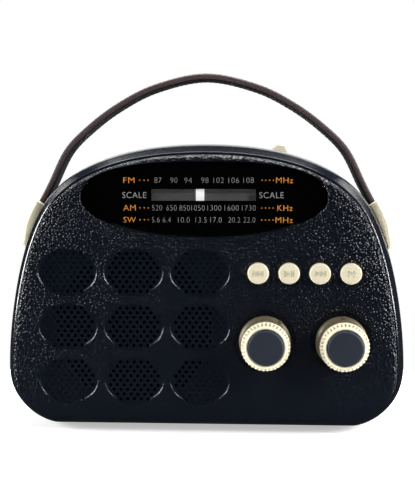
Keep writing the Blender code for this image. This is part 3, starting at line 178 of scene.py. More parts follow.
# The case is two shells cut from one rounded outline; the sizes at the front describe its face and ridge.
case = {"halfWidth": 0.100, "height": 0.142, "bottom": 0.0008, "top": 0.1428, "depth": 0.060, "front": 0.021,
        "faceInset": 0.0082, "ridgeInset": 0.0044, "ridgeDepth": 0.0048, "wall": 0.0022, "steps": 22}


# Right half of the widest outline, from the top centre to where the flat bottom starts.
def caseHalf():
    width, height, low = case["halfWidth"], case["height"], case["bottom"]
    top = Vector((0.0, case["top"]))
    shoulder = Vector((0.7564 * width, low + 0.838 * height))
    slope = Vector((math.cos(0.78), -math.sin(0.78)))
    side = Vector((width, low + 0.2085 * height))
    foot = Vector((0.7375 * width, low))
    points = curvePoints(top, top + Vector((0.42 * width, 0)), shoulder - slope * 0.1234 * height, shoulder,
                         case["steps"])
    points += curvePoints(shoulder, shoulder + slope * 0.179 * height,
                          side + Vector((0, 0.1568 * height)), side, case["steps"])
    points += curvePoints(side, side - Vector((0, 0.1408 * height)), foot + Vector((0.0798 * width, 0)), foot,
                          case["steps"])
    points.append(foot)
    return points


def offsetLoop(points, distance):
    moved = []
    for index, point in enumerate(points):
        along = (points[(index + 1) % len(points)] - points[index - 1]).normalized()
        moved.append(point + Vector((-along.y, along.x)) * distance)
    return moved


def caseOutline(inset):
    half = caseHalf()
    return offsetLoop(half + [Vector((-point.x, point.y)) for point in reversed(half[1:])], -inset)


dial = {"z": 0.1157, "half": 0.0588, "rise": 0.0173, "fall": 0.0179, "steps": 120, "squareness": 2.6,
        "plateDepth": 0.0017, "printDepth": 0.00162}


def dialOutline(grow=0.0):
    points = []
    for step in range(dial["steps"]):
        angle = math.pi / 2 - 2 * math.pi * step / dial["steps"]
        power = 2 / dial["squareness"] if math.sin(angle) > 0 else 1.0
        across = math.copysign(abs(math.cos(angle)) ** power, math.cos(angle))
        up = math.copysign(abs(math.sin(angle)) ** power, math.sin(angle))
        rise = dial["rise"] if up > 0 else dial["fall"]
        points.append(Vector((dial["half"] * across, dial["z"] + rise * up)))
    return offsetLoop(points, grow)


def ellipse(x, z, halfWidth, halfHeight, steps):
    points = []
    for step in range(steps):
        angle = -2 * math.pi * step / steps
        points.append(Vector((x + halfWidth * math.cos(angle), z + halfHeight * math.sin(angle))))
    return points


def roundedBox(x, z, width, height, radius, steps=6):
    points = []
    for corner, (side, up) in enumerate(((1, 1), (1, -1), (-1, -1), (-1, 1))):
        for step in range(steps + 1):
            angle = math.pi / 2 - (corner + step / steps) * math.pi / 2
            points.append(Vector((x + side * (width / 2 - radius) + radius * math.cos(angle),
                                  z + up * (height / 2 - radius) + radius * math.sin(angle))))
    return points


def newObject(name, bm, finish=None, body=None, sharp=35):
    bmesh.ops.remove_doubles(bm, verts=bm.verts, dist=1e-7)
    bmesh.ops.recalc_face_normals(bm, faces=bm.faces)
    mesh = bpy.data.meshes.new(name)
    bm.to_mesh(mesh)
    bm.free()
    obj = bpy.data.objects.new(name, mesh)
    bpy.context.scene.collection.objects.link(obj)
    soften(obj, sharp)
    if finish:
        finish.use(obj)
    if body:
        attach(obj, body)
    return obj


def soften(obj, sharp=35):
    for polygon in obj.data.polygons:
        polygon.use_smooth = True
    obj.data.set_sharp_from_angle(angle=math.radians(sharp))


# Skin over rings of equal length, closed at both ends.
def addSkin(bm, rings):
    corners = [[bm.verts.new(point) for point in ring] for ring in rings]
    for ring, following in zip(corners, corners[1:]):
        for index in range(len(ring)):
            after = (index + 1) % len(ring)
            bm.faces.new((ring[index], ring[after], following[after], following[index]))
    for ring in (corners[0], corners[-1]):
        bm.faces.new(ring)


# Skin over flat outlines, each at its own depth.
def addLoft(bm, sections):
    addSkin(bm, [[place(point.x, depth, point.y) for point in outline] for outline, depth in sections])


def loft(name, sections, finish=None, body=None, sharp=35):
    bm = bmesh.new()
    addLoft(bm, sections)
    return newObject(name, bm, finish, body, sharp)


def prism(name, outline, front, back, finish=None, body=None):
    return loft(name, [(outline, front), (outline, back)], finish, body)


# Surface turned about the depth axis through centre, from (radius, along) pairs.
def addTurned(bm, profile, centre, sides=64):
    chain = [bm.verts.new(centre + Vector((radius, along, 0))) for radius, along in profile]
    wire = [bm.edges.new(pair) for pair in zip(chain, chain[1:])]
    bmesh.ops.spin(bm, geom=chain + wire, cent=centre, axis=(0, 1, 0), angle=2 * math.pi, steps=sides,
                   use_merge=True)


def turned(name, profile, centre, finish, body, sides=64):
    bm = bmesh.new()
    addTurned(bm, profile, centre, sides)
    return newObject(name, bm, finish, body)


def addBox(bm, centre, size, turn=None):
    matrix = Matrix.Translation(centre) @ (turn or Matrix.Identity(4)) @ Matrix.Diagonal((*size, 1))
    return bmesh.ops.create_cube(bm, size=1, matrix=matrix)["verts"]


def box(name, centre, size, turn=None):
    bm = bmesh.new()
    addBox(bm, centre, size, turn)
    return newObject(name, bm)


def cut(obj, *cutters, operation="DIFFERENCE"):
    for cutter in cutters:
        modifier = obj.modifiers.new("cut", "BOOLEAN")
        modifier.object = cutter
        modifier.operation = operation
        modifier.solver = "EXACT"
    evaluated = obj.evaluated_get(bpy.context.evaluated_depsgraph_get())
    mesh = bpy.data.meshes.new_from_object(evaluated)
    obj.modifiers.clear()
    obj.data = mesh
    for cutter in cutters:
        bpy.data.objects.remove(cutter)
    soften(obj)
    return obj


# A CAD node's shape merged and smoothed, to stand for it.
def copyOf(node, name, sharp=30):
    bm = bmesh.new()
    bm.from_mesh(nodes[node].data)
    bmesh.ops.remove_doubles(bm, verts=bm.verts, dist=1e-6)
    bmesh.ops.dissolve_limit(bm, angle_limit=math.radians(1), verts=bm.verts, edges=bm.edges)
    obj = newObject(name, bm, sharp=sharp)
    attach(obj, bodyOf[node])
    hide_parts(node)
    return obj


grille = {"left": -0.08075, "right": 0.01295, "top": 0.0916, "bottom": 0.01545, "gapX": 0.0029, "gapZ": 0.0037,
          "depth": 0.0009, "holeRadius": 0.00083, "pitch": 0.00334, "row": 0.00229, "openRadius": 0.0382,
          "openCentre": (-0.0337, 0.0536), "counts": (5, 6, 7, 8, 7, 8, 7, 6, 5)}
grain = {"colour": (0.0036, 0.0052, 0.0096), "pebbles": 900.0, "fine": 2600.0, "patches": 60.0,
         "relief": 0.00061, "roughness": 0.16, "edge": 0.001}


# Pebbled covering on the face, smooth behind the ridge and on the panels between the holes.
def makeShell():
    finish = Finish("shell", grain["colour"], grain["roughness"], specular=0.35)
    depth = finish.axis("Y") - faceY
    inGrille = finish.axis("X").between(grille["left"], grille["right"], grain["edge"])
    inGrille = inGrille * finish.axis("Z").between(grille["bottom"], grille["top"], grain["edge"])
    behind = depth.above(0.0016, 0.0036)
    panel = inGrille * depth.above(0.00005, 0.0004)
    pebbles = finish.cells(grain["pebbles"], "SMOOTH_F1", Smoothness=0.2)
    fine = finish.noise(grain["fine"], 1.0)
    patch = finish.noise(grain["patches"], 3.0).above(0.25, 0.75)
    shown = (1 - behind * 0.95) * (1 - panel * 0.85)
    height = ((1 - pebbles) * (0.86 + 0.14 * patch) + fine * 0.04) * shown
    finish.set("Normal", finish.bump(height, grain["relief"]))
    finish.set("Roughness", grain["roughness"] + 0.08 * finish.noise(420.0, 2.0))
    return finish


shell = makeShell()
cream = Finish("cream", (0.74, 0.68, 0.50), 0.36, specular=0.45)
# Dark champagne for the knob sides and nibs: their own tone, darkened well below the cream crown as painted shade.
champagne = Finish("champagne", (0.13, 0.11, 0.068), 0.45, metallic=0.2)
brightRing = Finish("brightRing", (0.72, 0.67, 0.50), 0.35)
navyCap = Finish("navyCap", (0.016, 0.022, 0.034), 0.5, specular=0.3)
plateBlack = Finish("plateBlack", (0.0010, 0.0010, 0.0010), 0.6, specular=0.0)
windowClear = Finish("windowClear", (0.0, 0.0, 0.0), 0.05, alpha=0.10, specular=0.5)
printOrange = Finish("printOrange", (0.95, 0.38, 0.07), 0.6, specular=0.1)
printGrey = Finish("printGrey", (0.50, 0.50, 0.50), 0.6, specular=0.1)
# Grey for the dial's slot backing, lighter than its own grey as painted light against the shade of its deep recess.
slotGrey = Finish("slotGrey", (0.17, 0.17, 0.17), 0.7, specular=0.1)
white = Finish("white", (0.95, 0.95, 0.95), 0.5)
steel = Finish("steel", (0.60, 0.60, 0.62), 0.32, metallic=1.0)
chrome = Finish("chrome", (0.80, 0.80, 0.82), 0.12, metallic=1.0)
rubber = Finish("rubber", (0.018, 0.018, 0.018), 0.75, specular=0.3)
boardGreen = Finish("boardGreen", (0.015, 0.12, 0.05), 0.45)
paper = Finish("paper", (0.012, 0.012, 0.013), 0.9, specular=0.1)
ferrite = Finish("ferrite", (0.030, 0.030, 0.034), 0.65)
copper = Finish("copper", (0.72, 0.34, 0.16), 0.4, metallic=0.8)
wrap = Finish("wrap", (0.03, 0.16, 0.42), 0.35)
cordFinish = Finish("cordFinish", (0.70, 0.64, 0.48), 0.8)


def makeLeather():
    finish = Finish("leather", (0.060, 0.040, 0.040), 0.52, specular=0.35)
    pores = finish.noise(1500.0, 3.0, 0.6)
    creases = finish.cells(800.0, "DISTANCE_TO_EDGE").above(0.0, 0.09)
    finish.set("Normal", finish.bump(pores * 0.4 + creases * 0.6, 0.00007))
    finish.set("Base Color", finish.mix(finish.noise(120.0, 3.0), (0.048, 0.030, 0.031), (0.078, 0.054, 0.054)))
    return finish


leather = makeLeather()


def frontSections():
    inset, ridge, depth = case["faceInset"], case["ridgeInset"], case["ridgeDepth"]
    return [(inset, 0.0), (inset - 0.0006, 0.00012), (inset - 0.0012, 0.0004), (inset - 0.0017, 0.0009),
            (inset - 0.0021, 0.0015), (ridge + 0.0013, depth - 0.0008), (ridge + 0.0008, depth - 0.00085),
            (ridge + 0.0003, depth - 0.0005), (ridge + 0.0001, depth + 0.0001), (ridge, depth + 0.0006),
            (ridge * 0.42, depth + 0.0052), (ridge * 0.1, depth + 0.0105), (0.0, case["front"] - 0.0008),
            (0.0003, case["front"])]


def panelCentres():
    width = (grille["right"] - grille["left"] - 2 * grille["gapX"]) / 3
    height = (grille["top"] - grille["bottom"] - 2 * grille["gapZ"]) / 3
    centres = []
    for row in range(3):
        for column in range(3):
            centres.append((grille["left"] + width / 2 + column * (width + grille["gapX"]),
                            grille["top"] - height / 2 - row * (height + grille["gapZ"])))
    return centres, width, height


def holePlaces(x, z):
    places = []
    counts = grille["counts"]
    for line, count in enumerate(counts):
        up = z + ((len(counts) - 1) / 2 - line) * grille["row"]
        for index in range(count):
            places.append((x + (index - (count - 1) / 2) * grille["pitch"], up))
    return places


# The front shell with its window, button holes, knob wells and nine pierced panels.
def makeFront():
    obj = loft("frontCase", [(caseOutline(inset), depth) for inset, depth in frontSections()], shell)
    wall = case["wall"]
    hollow = [(case["ridgeInset"] + wall + 0.0008, wall),
              (case["ridgeInset"] + wall, case["ridgeDepth"] + 0.0012),
              (case["ridgeInset"] * 0.42 + wall, case["ridgeDepth"] + 0.006), (wall, case["front"] - 0.002),
              (wall, case["front"] + 0.001)]
    cutters = [loft("hollow", [(caseOutline(inset), depth) for inset, depth in hollow])]
    bm = bmesh.new()
    addLoft(bm, [(dialOutline(clearance + 0.0006), -0.001), (dialOutline(clearance + 0.0006), 0.0),
                 (dialOutline(clearance), 0.0007), (dialOutline(clearance), wall + 0.001)])
    for x in keys["xs"]:
        addTurned(bm, [(0, -0.001), (keys["hole"] + 0.0003, -0.001), (keys["hole"] + 0.0003, 0.0),
                       (keys["hole"], 0.0003), (keys["hole"], wall + 0.001), (0, wall + 0.001)],
                  place(x, 0, keys["z"]), 48)
    for x in (knob["volumeX"], knob["tuningX"]):
        addTurned(bm, [(0, -0.001), (knob["well"], -0.001), (knob["well"], 0.0), (knob["well"] - 0.0003, 0.0005),
                       (knob["well"] - 0.0009, knob["wellDepth"]), (knob["bore"], knob["wellDepth"]),
                       (knob["bore"], wall + 0.001), (0, wall + 0.001)], place(x, 0, knob["z"]), 72)
    centres, width, height = panelCentres()
    for x, z in centres:
        stops = ((0, -0.001), (0, 0.0), (0.0002, 0.0004), (0.0006, 0.0007), (0.0012, grille["depth"]))
        addLoft(bm, [(ellipse(x, z, width / 2 - inset, height / 2 - inset, 72), depth) for inset, depth in stops])
    cutters.append(newObject("faceCuts", bm))
    cut(obj, *cutters)
    bm = bmesh.new()
    alongDepth = Matrix.Rotation(math.pi / 2, 4, "X") @ Matrix.Rotation(math.pi / 2, 4, "Z")
    for x, z in centres:
        for holeX, holeZ in holePlaces(x, z):
            away = math.hypot(holeX - grille["openCentre"][0], holeZ - grille["openCentre"][1])
            end = wall + 0.001 if away < grille["openRadius"] else grille["depth"] + 0.0004
            matrix = Matrix.Translation(place(holeX, end / 2, holeZ)) @ alongDepth
            bmesh.ops.create_cone(bm, cap_ends=True, cap_tris=True, segments=10, radius1=grille["holeRadius"],
                                  radius2=grille["holeRadius"], depth=end, matrix=matrix)
    cut(obj, newObject("holes", bm))
    shell.use(obj)
    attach(obj, "root")
    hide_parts("front_shell")
    print("front", len(obj.data.polygons))
    return obj


def backSections():
    start = case["front"]
    length = case["depth"] - start
    return [(0.0003, start + clearance), (0.0, start + clearance + 0.0008), (0.0005, start + 0.26 * length),
            (0.0018, start + 0.52 * length), (0.0040, start + 0.76 * length), (0.0068, start + 0.90 * length),
            (0.0086, start + 0.945 * length), (0.0106, start + 0.975 * length),
            (0.0128, start + 0.992 * length), (0.0150, case["depth"])]


notch = {"left": -0.0627, "right": 0.0514, "low": 0.1279, "top": 0.153, "front": 0.0506, "back": 0.070}
bay = {"z": 0.0333, "depth": 0.0375, "width": 0.0754, "height": 0.0205, "corner": 0.002, "wall": 0.0018,
       "doorWidth": 0.0804, "doorHeight": 0.0255, "doorCorner": 0.0028, "doorThickness": 0.0021}
screws = {"places": ((0.084, 0.0233), (0.0685, 0.1033)), "shank": 0.0015, "head": 0.003, "seat": 0.0197}
sockets = {"x": 0.060, "z": 0.0938, "pitch": 0.0125, "room": 0.0006,
           "sizes": ((0.0070, 0.0070), (0.0142, 0.0068), (0.0145, 0.0034), (0.0086, 0.0038))}
lever = {"slope": 0.1892, "foot": (0.0374, 0.031, 0.1385), "slot": (0.0116, 0.0034, 0.012)}


# Room for the folded antenna behind the crest.
def notchBox(grow):
    left, right = notch["left"] - grow, notch["right"] + grow
    low, front = notch["low"] - grow, notch["front"] - grow
    return box("notch", place((left + right) / 2, (front + notch["back"]) / 2, (low + notch["top"]) / 2),
               (right - left, notch["back"] - front, notch["top"] - low))


# The rear shell with the antenna's notch, the battery bay, the sockets' holes and the switch slot.
def makeRear():
    obj = loft("rearCase", [(caseOutline(inset), depth) for inset, depth in backSections()], shell)
    wall, start, end = case["wall"], case["front"], case["depth"]
    sections = [(wall + 0.0003, start - 0.001)] + [(inset + wall, depth) for inset, depth in backSections()[1:5]]
    sections += [(0.0132, end - 0.0045), (0.016, end - wall)]
    hollow = loft("rearHollow", [(caseOutline(inset), depth) for inset, depth in sections])
    wide, high, corner = bay["width"], bay["height"], bay["corner"]
    liningAndShade = roundedBox(0, bay["z"], wide + 2 * bay["wall"], high + 2 * bay["wall"], 2 * corner)
    cut(hollow, notchBox(wall), prism("bayWall", liningAndShade, bay["depth"] - bay["wall"], end + 0.002))
    hole = prism("bayHole", roundedBox(0, bay["z"], wide, high, corner), bay["depth"], end + 0.001)
    seat = prism("doorSeat", roundedBox(0, bay["z"], bay["doorWidth"], bay["doorHeight"], bay["doorCorner"]),
                 end - bay["doorThickness"], end + 0.001)
    bm = bmesh.new()
    for x, z in screws["places"]:
        for side in (-1, 1):
            addTurned(bm, [(0, start - 0.002), (screws["shank"], start - 0.002),
                           (screws["shank"], start + screws["seat"]), (screws["head"], start + screws["seat"]),
                           (screws["head"], end + 0.002), (0, end + 0.002)], place(side * x, 0, z), 32)
    drills = newObject("drills", bm)
    bm = bmesh.new()
    for index, (width, height) in enumerate(sockets["sizes"]):
        addBox(bm, place(sockets["x"], end, sockets["z"] - sockets["pitch"] * index),
               (width + sockets["room"], 0.012, height + sockets["room"]))
    mouths = newObject("socketHoles", bm)
    slot = box("switchSlot", place(*lever["foot"]), lever["slot"], Matrix.Rotation(lever["slope"], 4, "Y"))
    cut(obj, hollow)
    cut(obj, notchBox(0), hole, seat, drills, mouths, slot)
    shell.use(obj)
    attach(obj, "root")
    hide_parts("rear_shell")
    print("rear", len(obj.data.polygons))
    return obj


# Flat mesh of a word fitted between two places across the scale.
def printLabel(text, left, right, z, height, thin=0.0):
    curve = bpy.data.curves.new("label", "FONT")
    curve.body = text
    curve.resolution_u = 4
    curve.offset = -thin
    curve.space_character = 1.08
    obj = bpy.data.objects.new("label", curve)
    bpy.context.scene.collection.objects.link(obj)
    bpy.context.view_layer.update()
    mesh = bpy.data.meshes.new_from_object(obj.evaluated_get(bpy.context.evaluated_depsgraph_get()))
    bpy.data.objects.remove(obj)
    lowX = min(vertex.co.x for vertex in mesh.vertices)
    highX = max(vertex.co.x for vertex in mesh.vertices)
    lowY = min(vertex.co.y for vertex in mesh.vertices)
    highY = max(vertex.co.y for vertex in mesh.vertices)
    for vertex in mesh.vertices:
        across = (vertex.co.x - lowX) / (highX - lowX)
        up = (vertex.co.y - lowY) / (highY - lowY)
        vertex.co = place(left + (right - left) * across, dial["printDepth"], z + height * (up - 0.5))
    return mesh


def addPrint(bm, labels, height, thin):
    for text, left, right, z in labels:
        bm.from_mesh(printLabel(text, left / 1000, right / 1000, z / 1000, height, thin))


def makePrint(name, bm, finish, body="root"):
    for face in bm.faces:
        if face.normal.y > 0:
            face.normal_flip()
    mesh = bpy.data.meshes.new(name)
    bm.to_mesh(mesh)
    bm.free()
    obj = bpy.data.objects.new(name, mesh)
    bpy.context.scene.collection.objects.link(obj)
    finish.use(obj)
    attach(obj, body)
    return obj


# The pointer's finish has a faint glow of its own: painted light on a part that is no lamp.
glowingPointer = Finish("glowingPointer", (0.95, 0.95, 0.95), 0.5)
glowingPointer.set("Emission Color", (1.0, 1.0, 1.0, 1.0))
glowingPointer.set("Emission Strength", 0.45)


# The printing is placed in millimetres across and up.
def makeDial():
    front = dial["plateDepth"]
    window = loft("window", [(dialOutline(-0.0012), -0.0002), (dialOutline(-0.0005), -0.00005),
                             (dialOutline(0), 0.0003), (dialOutline(0), 0.0014)], windowClear, "root")
    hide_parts("dial_window")
    plate = prism("scalePlate", dialOutline(-clearance), front, front + 0.0008, plateBlack)
    slot = prism("scaleSlot", roundedBox(0, dial["z"] + 0.0019, 0.0502, 0.0056, 0.0002),
                 front - 0.001, front + 0.002)
    cut(plate, slot)
    plateBlack.use(plate)
    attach(plate, "root")
    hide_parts("dial_scale")
    rows = {"fm": 124.6, "scale": 117.5, "am": 111.4, "sw": 105.65}
    orange = bmesh.new()
    addPrint(orange, [("FM", -38.5, -33.1, rows["fm"]), ("AM", -38.6, -32.6, rows["am"]),
                      ("SW", -38.6, -32.6, rows["sw"]), ("MHz", 34.6, 42.7, rows["fm"]),
                      ("KHz", 35.3, 42.6, rows["am"]), ("MHz", 34.5, 42.8, rows["sw"])], 0.0027, 0.008)
    for z in (rows["fm"], rows["am"], rows["sw"]):
        for x in (-30.6, -28.5, -26.6, 27.9, 29.7, 31.5, 33.3):
            centre = place(x / 1000, dial["printDepth"], z / 1000)
            bmesh.ops.create_circle(orange, cap_ends=True, segments=8, radius=0.00030,
                                    matrix=Matrix.Translation(centre) @ Matrix.Rotation(math.pi / 2, 4, "X"))
    makePrint("printOrange", orange, printOrange)
    grey = bmesh.new()
    addPrint(grey, [("SCALE", -39.0, -27.5, rows["scale"]), ("SCALE", 26.7, 38.3, rows["scale"])],
             0.0028, 0.012)
    numbers = {"fm": (("87", -23.5, -20.2), ("90", -15.8, -12.5), ("94", -9.1, -5.6), ("98", -1.0, 2.4),
                      ("102", 4.8, 9.7), ("106", 12.0, 17.0), ("108", 19.1, 24.0)),
               "am": (("520", -24.7, -19.9), ("650", -17.8, -12.9), ("850", -11.5, -6.6), ("1050", -5.8, 0.6),
                      ("1300", 1.9, 8.5), ("1600", 10.1, 16.9), ("1730", 18.5, 25.0)),
               "sw": (("5.6", -24.8, -21.1), ("6.4", -19.5, -15.8), ("10.0", -12.2, -6.6), ("13.5", -3.8, 1.5),
                      ("17.0", 3.3, 8.7), ("20.2", 12.0, 17.6), ("22.0", 19.2, 24.8))}
    for row, words in numbers.items():
        addPrint(grey, [(text, left, right, rows[row]) for text, left, right in words], 0.0025, 0.026)
    makePrint("printGrey", grey, printGrey)
    glowingPointer.use(nodes["dial_pointer"])
    slotGrey.use(nodes["dial_frame"])


knob = {"z": 0.0470, "volumeX": 0.0297, "tuningX": 0.0665, "radius": 0.0125, "rim": 0.0116, "cap": 0.0083,
        "reach": 0.016, "well": 0.0151, "wellDepth": 0.0008, "bore": 0.0035, "flutes": 38, "fluteDepth": 0.0011}


def makeKnob(name, x, body, nibTurn):
    centre = place(x, 0, knob["z"])
    radius, rim, inner = knob["radius"], knob["rim"], knob["cap"] + 0.0019
    bm = bmesh.new()
    addTurned(bm, [(0.0031, 0.0005), (radius - 0.0003, 0.0005), (radius, 0.0002), (radius, -0.0010),
                   (radius - 0.0002, -0.0016), (radius - 0.0009, -0.0022), (rim - 0.0004, -0.0027),
                   (rim - 0.0006, -0.0034), (rim - 0.0002, -0.0104), (rim - 0.0004, -0.0108), (0.0095, -0.0112),
                   (0.0031, -0.0112)], centre, 96)
    side = newObject(f"{name}Body", bm, champagne, body)
    bm = bmesh.new()
    steps = knob["flutes"] * 8
    profile = [(rim - 0.0005, -0.0105, 0.0), (rim, -0.0108, 0.3), (rim, -0.0122, 0.5),
               (rim - 0.0003, -0.0129, 0.6),
               (rim - 0.0006, -0.0132, 1.0), (rim - 0.0013, -0.0136, 1.0), (rim - 0.0016, -0.0137, 0.0),
               (inner, -0.0137, 0.0), (inner - 0.0001, -0.0128, 0.0)]
    addTurned(bm, [(spoke, along) for spoke, along, share in profile], centre, steps)
    bmesh.ops.remove_doubles(bm, verts=bm.verts, dist=1e-7)
    for vertex in bm.verts:
        across, along, up = vertex.co - centre
        angle, spoke = math.atan2(up, across), math.hypot(across, up)
        share = min(profile, key=lambda stop: math.hypot(stop[0] - spoke, stop[1] - along))[2]
        dip = share * knob["fluteDepth"] * (0.5 - 0.5 * math.cos(angle * knob["flutes"])) ** 1.5
        spoke -= dip * 0.35
        vertex.co = centre + Vector((spoke * math.cos(angle), along + dip, spoke * math.sin(angle)))
    crown = newObject(f"{name}Rim", bm, cream, body, sharp=60)
    ring = turned(f"{name}Ring", [(inner - 0.0001, -0.0123), (inner - 0.0001, -0.0137), (inner - 0.0005, -0.0143),
                                  (inner - 0.0010, -0.0146), (inner - 0.0014, -0.0145),
                                  (knob["cap"] + 0.0002, -0.0141),
                                  (knob["cap"] + 0.0002, -0.0123)], centre, brightRing, body, 96)
    reach = knob["reach"]
    cap = turned(f"{name}Cap", [(0, -0.0123), (knob["cap"], -0.0123), (knob["cap"], -reach + 0.0007),
                                (knob["cap"] - 0.0002, -reach + 0.0003), (knob["cap"] - 0.0006, -reach + 0.00005),
                                (knob["cap"] - 0.0010, -reach), (0, -reach)], centre, navyCap, body, 96)
    bm = bmesh.new()
    addBox(bm, Vector((0, -0.0021, 0.0122)), (0.0014, 0.0010, 0.0016))
    bmesh.ops.bevel(bm, geom=bm.edges[:], offset=0.0003, segments=2, profile=0.5, affect="EDGES")
    bmesh.ops.transform(bm, matrix=Matrix.Translation(centre) @ Matrix.Rotation(nibTurn, 4, "Y"),
                        verts=bm.verts)
    newObject(f"{name}Nib", bm, champagne, body)
    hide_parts(f"{name}_knob")
    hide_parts(f"{name}_knob_ring")
    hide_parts(f"{name}_knob_cap")


keys = {"z": 0.0802, "xs": (0.02631, 0.04104, 0.05577, 0.0705), "radius": 0.0051, "proud": 0.0018,
        "hole": 0.00535}
keyMark = Finish("keyMark", (0.50, 0.46, 0.34), 0.45)


# A raised flat symbol from (across, up) points in millimetres.
def addShape(bm, points, centre):
    front, back = -keys["proud"] - 0.00016, -keys["proud"] + 0.0002
    outline = [Vector((centre[0] + across / 1000, centre[1] + up / 1000)) for across, up in points]
    addLoft(bm, [(outline, front), (outline, back)])


def triangle(left, right, size):
    return [(left, size), (right, 0), (left, -size)]


def bar(x, size):
    return [(x - 0.22, size), (x + 0.22, size), (x + 0.22, -size), (x - 0.22, -size)]


def makeKeys():
    symbols = {"previous": [bar(-2.5, 1.4), triangle(0.1, -2.0, 1.4), triangle(2.5, 0.4, 1.4)],
               "play": [triangle(-2.4, 0.2, 1.6), bar(1.1, 1.5), bar(2.2, 1.5)],
               "next": [triangle(-2.5, -0.4, 1.4), triangle(-0.1, 2.0, 1.4), bar(2.5, 1.4)], "mode": []}
    radius, proud = keys["radius"], keys["proud"]
    for (name, shapes), x in zip(symbols.items(), keys["xs"]):
        centre = place(x, 0, keys["z"])
        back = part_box(f"{name}_button")[1].y - faceY
        button = turned(f"{name}Key", [(0, back), (radius - 0.0002, back), (radius, back - 0.0002),
                                       (radius, -proud + 0.0007), (radius - 0.00015, -proud + 0.0003),
                                       (radius - 0.0005, -proud + 0.00005), (radius - 0.0008, -proud),
                                       (0, -proud)],
                        centre, cream, f"{name}_key")
        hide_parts(f"{name}_button")
        bm = bmesh.new()
        for points in shapes:
            addShape(bm, points, (x, keys["z"]))
        if name == "mode":
            letter = printLabel("M", x - 0.0016, x + 0.0016, keys["z"], 0.0030)
            for vertex in letter.vertices:
                vertex.co.y = faceY - proud - 0.00012
            bm.from_mesh(letter)
        newObject(f"{name}Symbol", bm, keyMark, f"{name}_key")


# The strap's shape gives the share of the way out and of the rise at each stop between bracket and apex.
strapSizes = {"depth": 0.031, "width": 0.011, "thickness": 0.0034, "apex": 0.1781, "tail": 0.0080,
              "shape": ((0.941, 0.145), (0.842, 0.406), (0.711, 0.586), (0.529, 0.766), (0.303, 0.916)),
              "bendLow": 0.1150, "bendHigh": 0.1215, "stitchPitch": 0.0026, "stitchInset": 0.0016,
              "stitch": (0.00022, 0.0004, 0.0017),
              "bracketThickness": 0.0053, "bracketWidth": 0.0150, "bracketTop": 0.782, "bracketBottom": 0.620}
# Near-black finish for the strap's inner face: painted shade where the brown band turns in towards the case.
liningAndShade = Finish("liningAndShade", (0.010, 0.011, 0.016), 0.5)
thread = Finish("thread", (0.030, 0.020, 0.020), 0.8)


# A point of the right half outline at a height, and the direction up along it.
def outlineAt(height):
    half = caseHalf()
    for index in range(1, len(half) - 2):
        above, below = half[index], half[index + 1]
        if below.y <= height <= above.y:
            share = (above.y - height) / (above.y - below.y)
            upper = (half[index - 1] - below).normalized()
            lower = (above - half[index + 2]).normalized()
            return above.lerp(below, share), upper.lerp(lower, share).normalized()
    return half[-1], Vector((0, 1))


def bracketStation(share, lift):
    sizes = strapSizes
    height = case["bottom"] + case["height"] * (sizes["bracketBottom"]
                                                + (sizes["bracketTop"] - sizes["bracketBottom"]) * share)
    point, along = outlineAt(height)
    return point + Vector((along.y, -along.x)) * lift, along


def strapLine():
    sizes = strapSizes
    mouth, along = bracketStation(1.0, sizes["bracketThickness"] / 2 + clearance)
    apex = Vector((0.0, sizes["apex"] - sizes["thickness"] / 2))
    rise = apex.y - mouth.y
    stops = [mouth] + [Vector((mouth.x * across, mouth.y + rise * up)) for across, up in sizes["shape"]] + [apex]
    around = [mouth - along * (stops[1] - mouth).length] + stops + [Vector((-stops[-2].x, stops[-2].y))]
    path = [mouth - along * sizes["tail"], mouth - along * sizes["tail"] / 2]
    for before, start, end, after in zip(around, stops, stops[1:], around[3:]):
        path += curvePoints(start, start + (end - before) / 6, end - (after - start) / 6, end, 8)
    half = path + [apex]
    return half + [Vector((-point.x, point.y)) for point in reversed(half[:-1])]


def makeStrap():
    sizes = strapSizes
    path = strapLine()
    width, thick = sizes["width"] / 2, sizes["thickness"] / 2
    ease = thick * 0.62
    corners = []
    for side, up, first in ((1, 1, 0), (-1, 1, 90), (-1, -1, 180), (1, -1, 270)):
        for step in range(5):
            angle = math.radians(first + step * 22.5)
            corners.append((side * (width - ease) + ease * math.cos(angle),
                            up * (thick - ease) + ease * math.sin(angle)))
    rings = []
    for index, point in enumerate(path):
        along = (path[min(index + 1, len(path) - 1)] - path[max(index - 1, 0)]).normalized()
        out = Vector((along.y, -along.x))
        rings.append([place(point.x + out.x * lift, sizes["depth"] + across, point.y + out.y * lift)
                      for across, lift in corners])
    bm = bmesh.new()
    addSkin(bm, rings)
    band = newObject("strapBand", bm, leather, sharp=60)
    # Faces turned in towards the case take the second, near-black finish as painted shade.
    band.data.materials.append(liningAndShade.data)
    for face in band.data.polygons:
        outward = (face.center - Vector((0, face.center.y, case["top"] - 0.03))).normalized()
        face.material_index = 1 if face.normal.dot(outward) < -0.4 else 0
    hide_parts("strap", "strap_end_left", "strap_end_right")
    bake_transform(band)
    addStitches(path)


def addStitches(path):
    sizes = strapSizes
    width, thick = sizes["width"] / 2, sizes["thickness"] / 2
    stitches = bmesh.new()
    travelled = 0.0
    for before, point in zip(path, path[1:]):
        length = (point - before).length
        along = (point - before).normalized()
        out = Vector((along.y, -along.x))
        while travelled < length:
            spot = before + along * travelled
            if spot.y > sizes["bendHigh"]:
                for side in (-1, 1):
                    for lift in (thick, -thick):
                        angle = math.atan2(along.x, along.y)
                        depth = sizes["depth"] + side * (width - sizes["stitchInset"])
                        centre = place(spot.x + out.x * lift, depth, spot.y + out.y * lift)
                        addBox(stitches, centre, sizes["stitch"], Matrix.Rotation(angle, 4, "Y"))
            travelled += sizes["stitchPitch"]
        travelled -= length
    newObject("strapStitches", stitches, thread, "carry_strap")


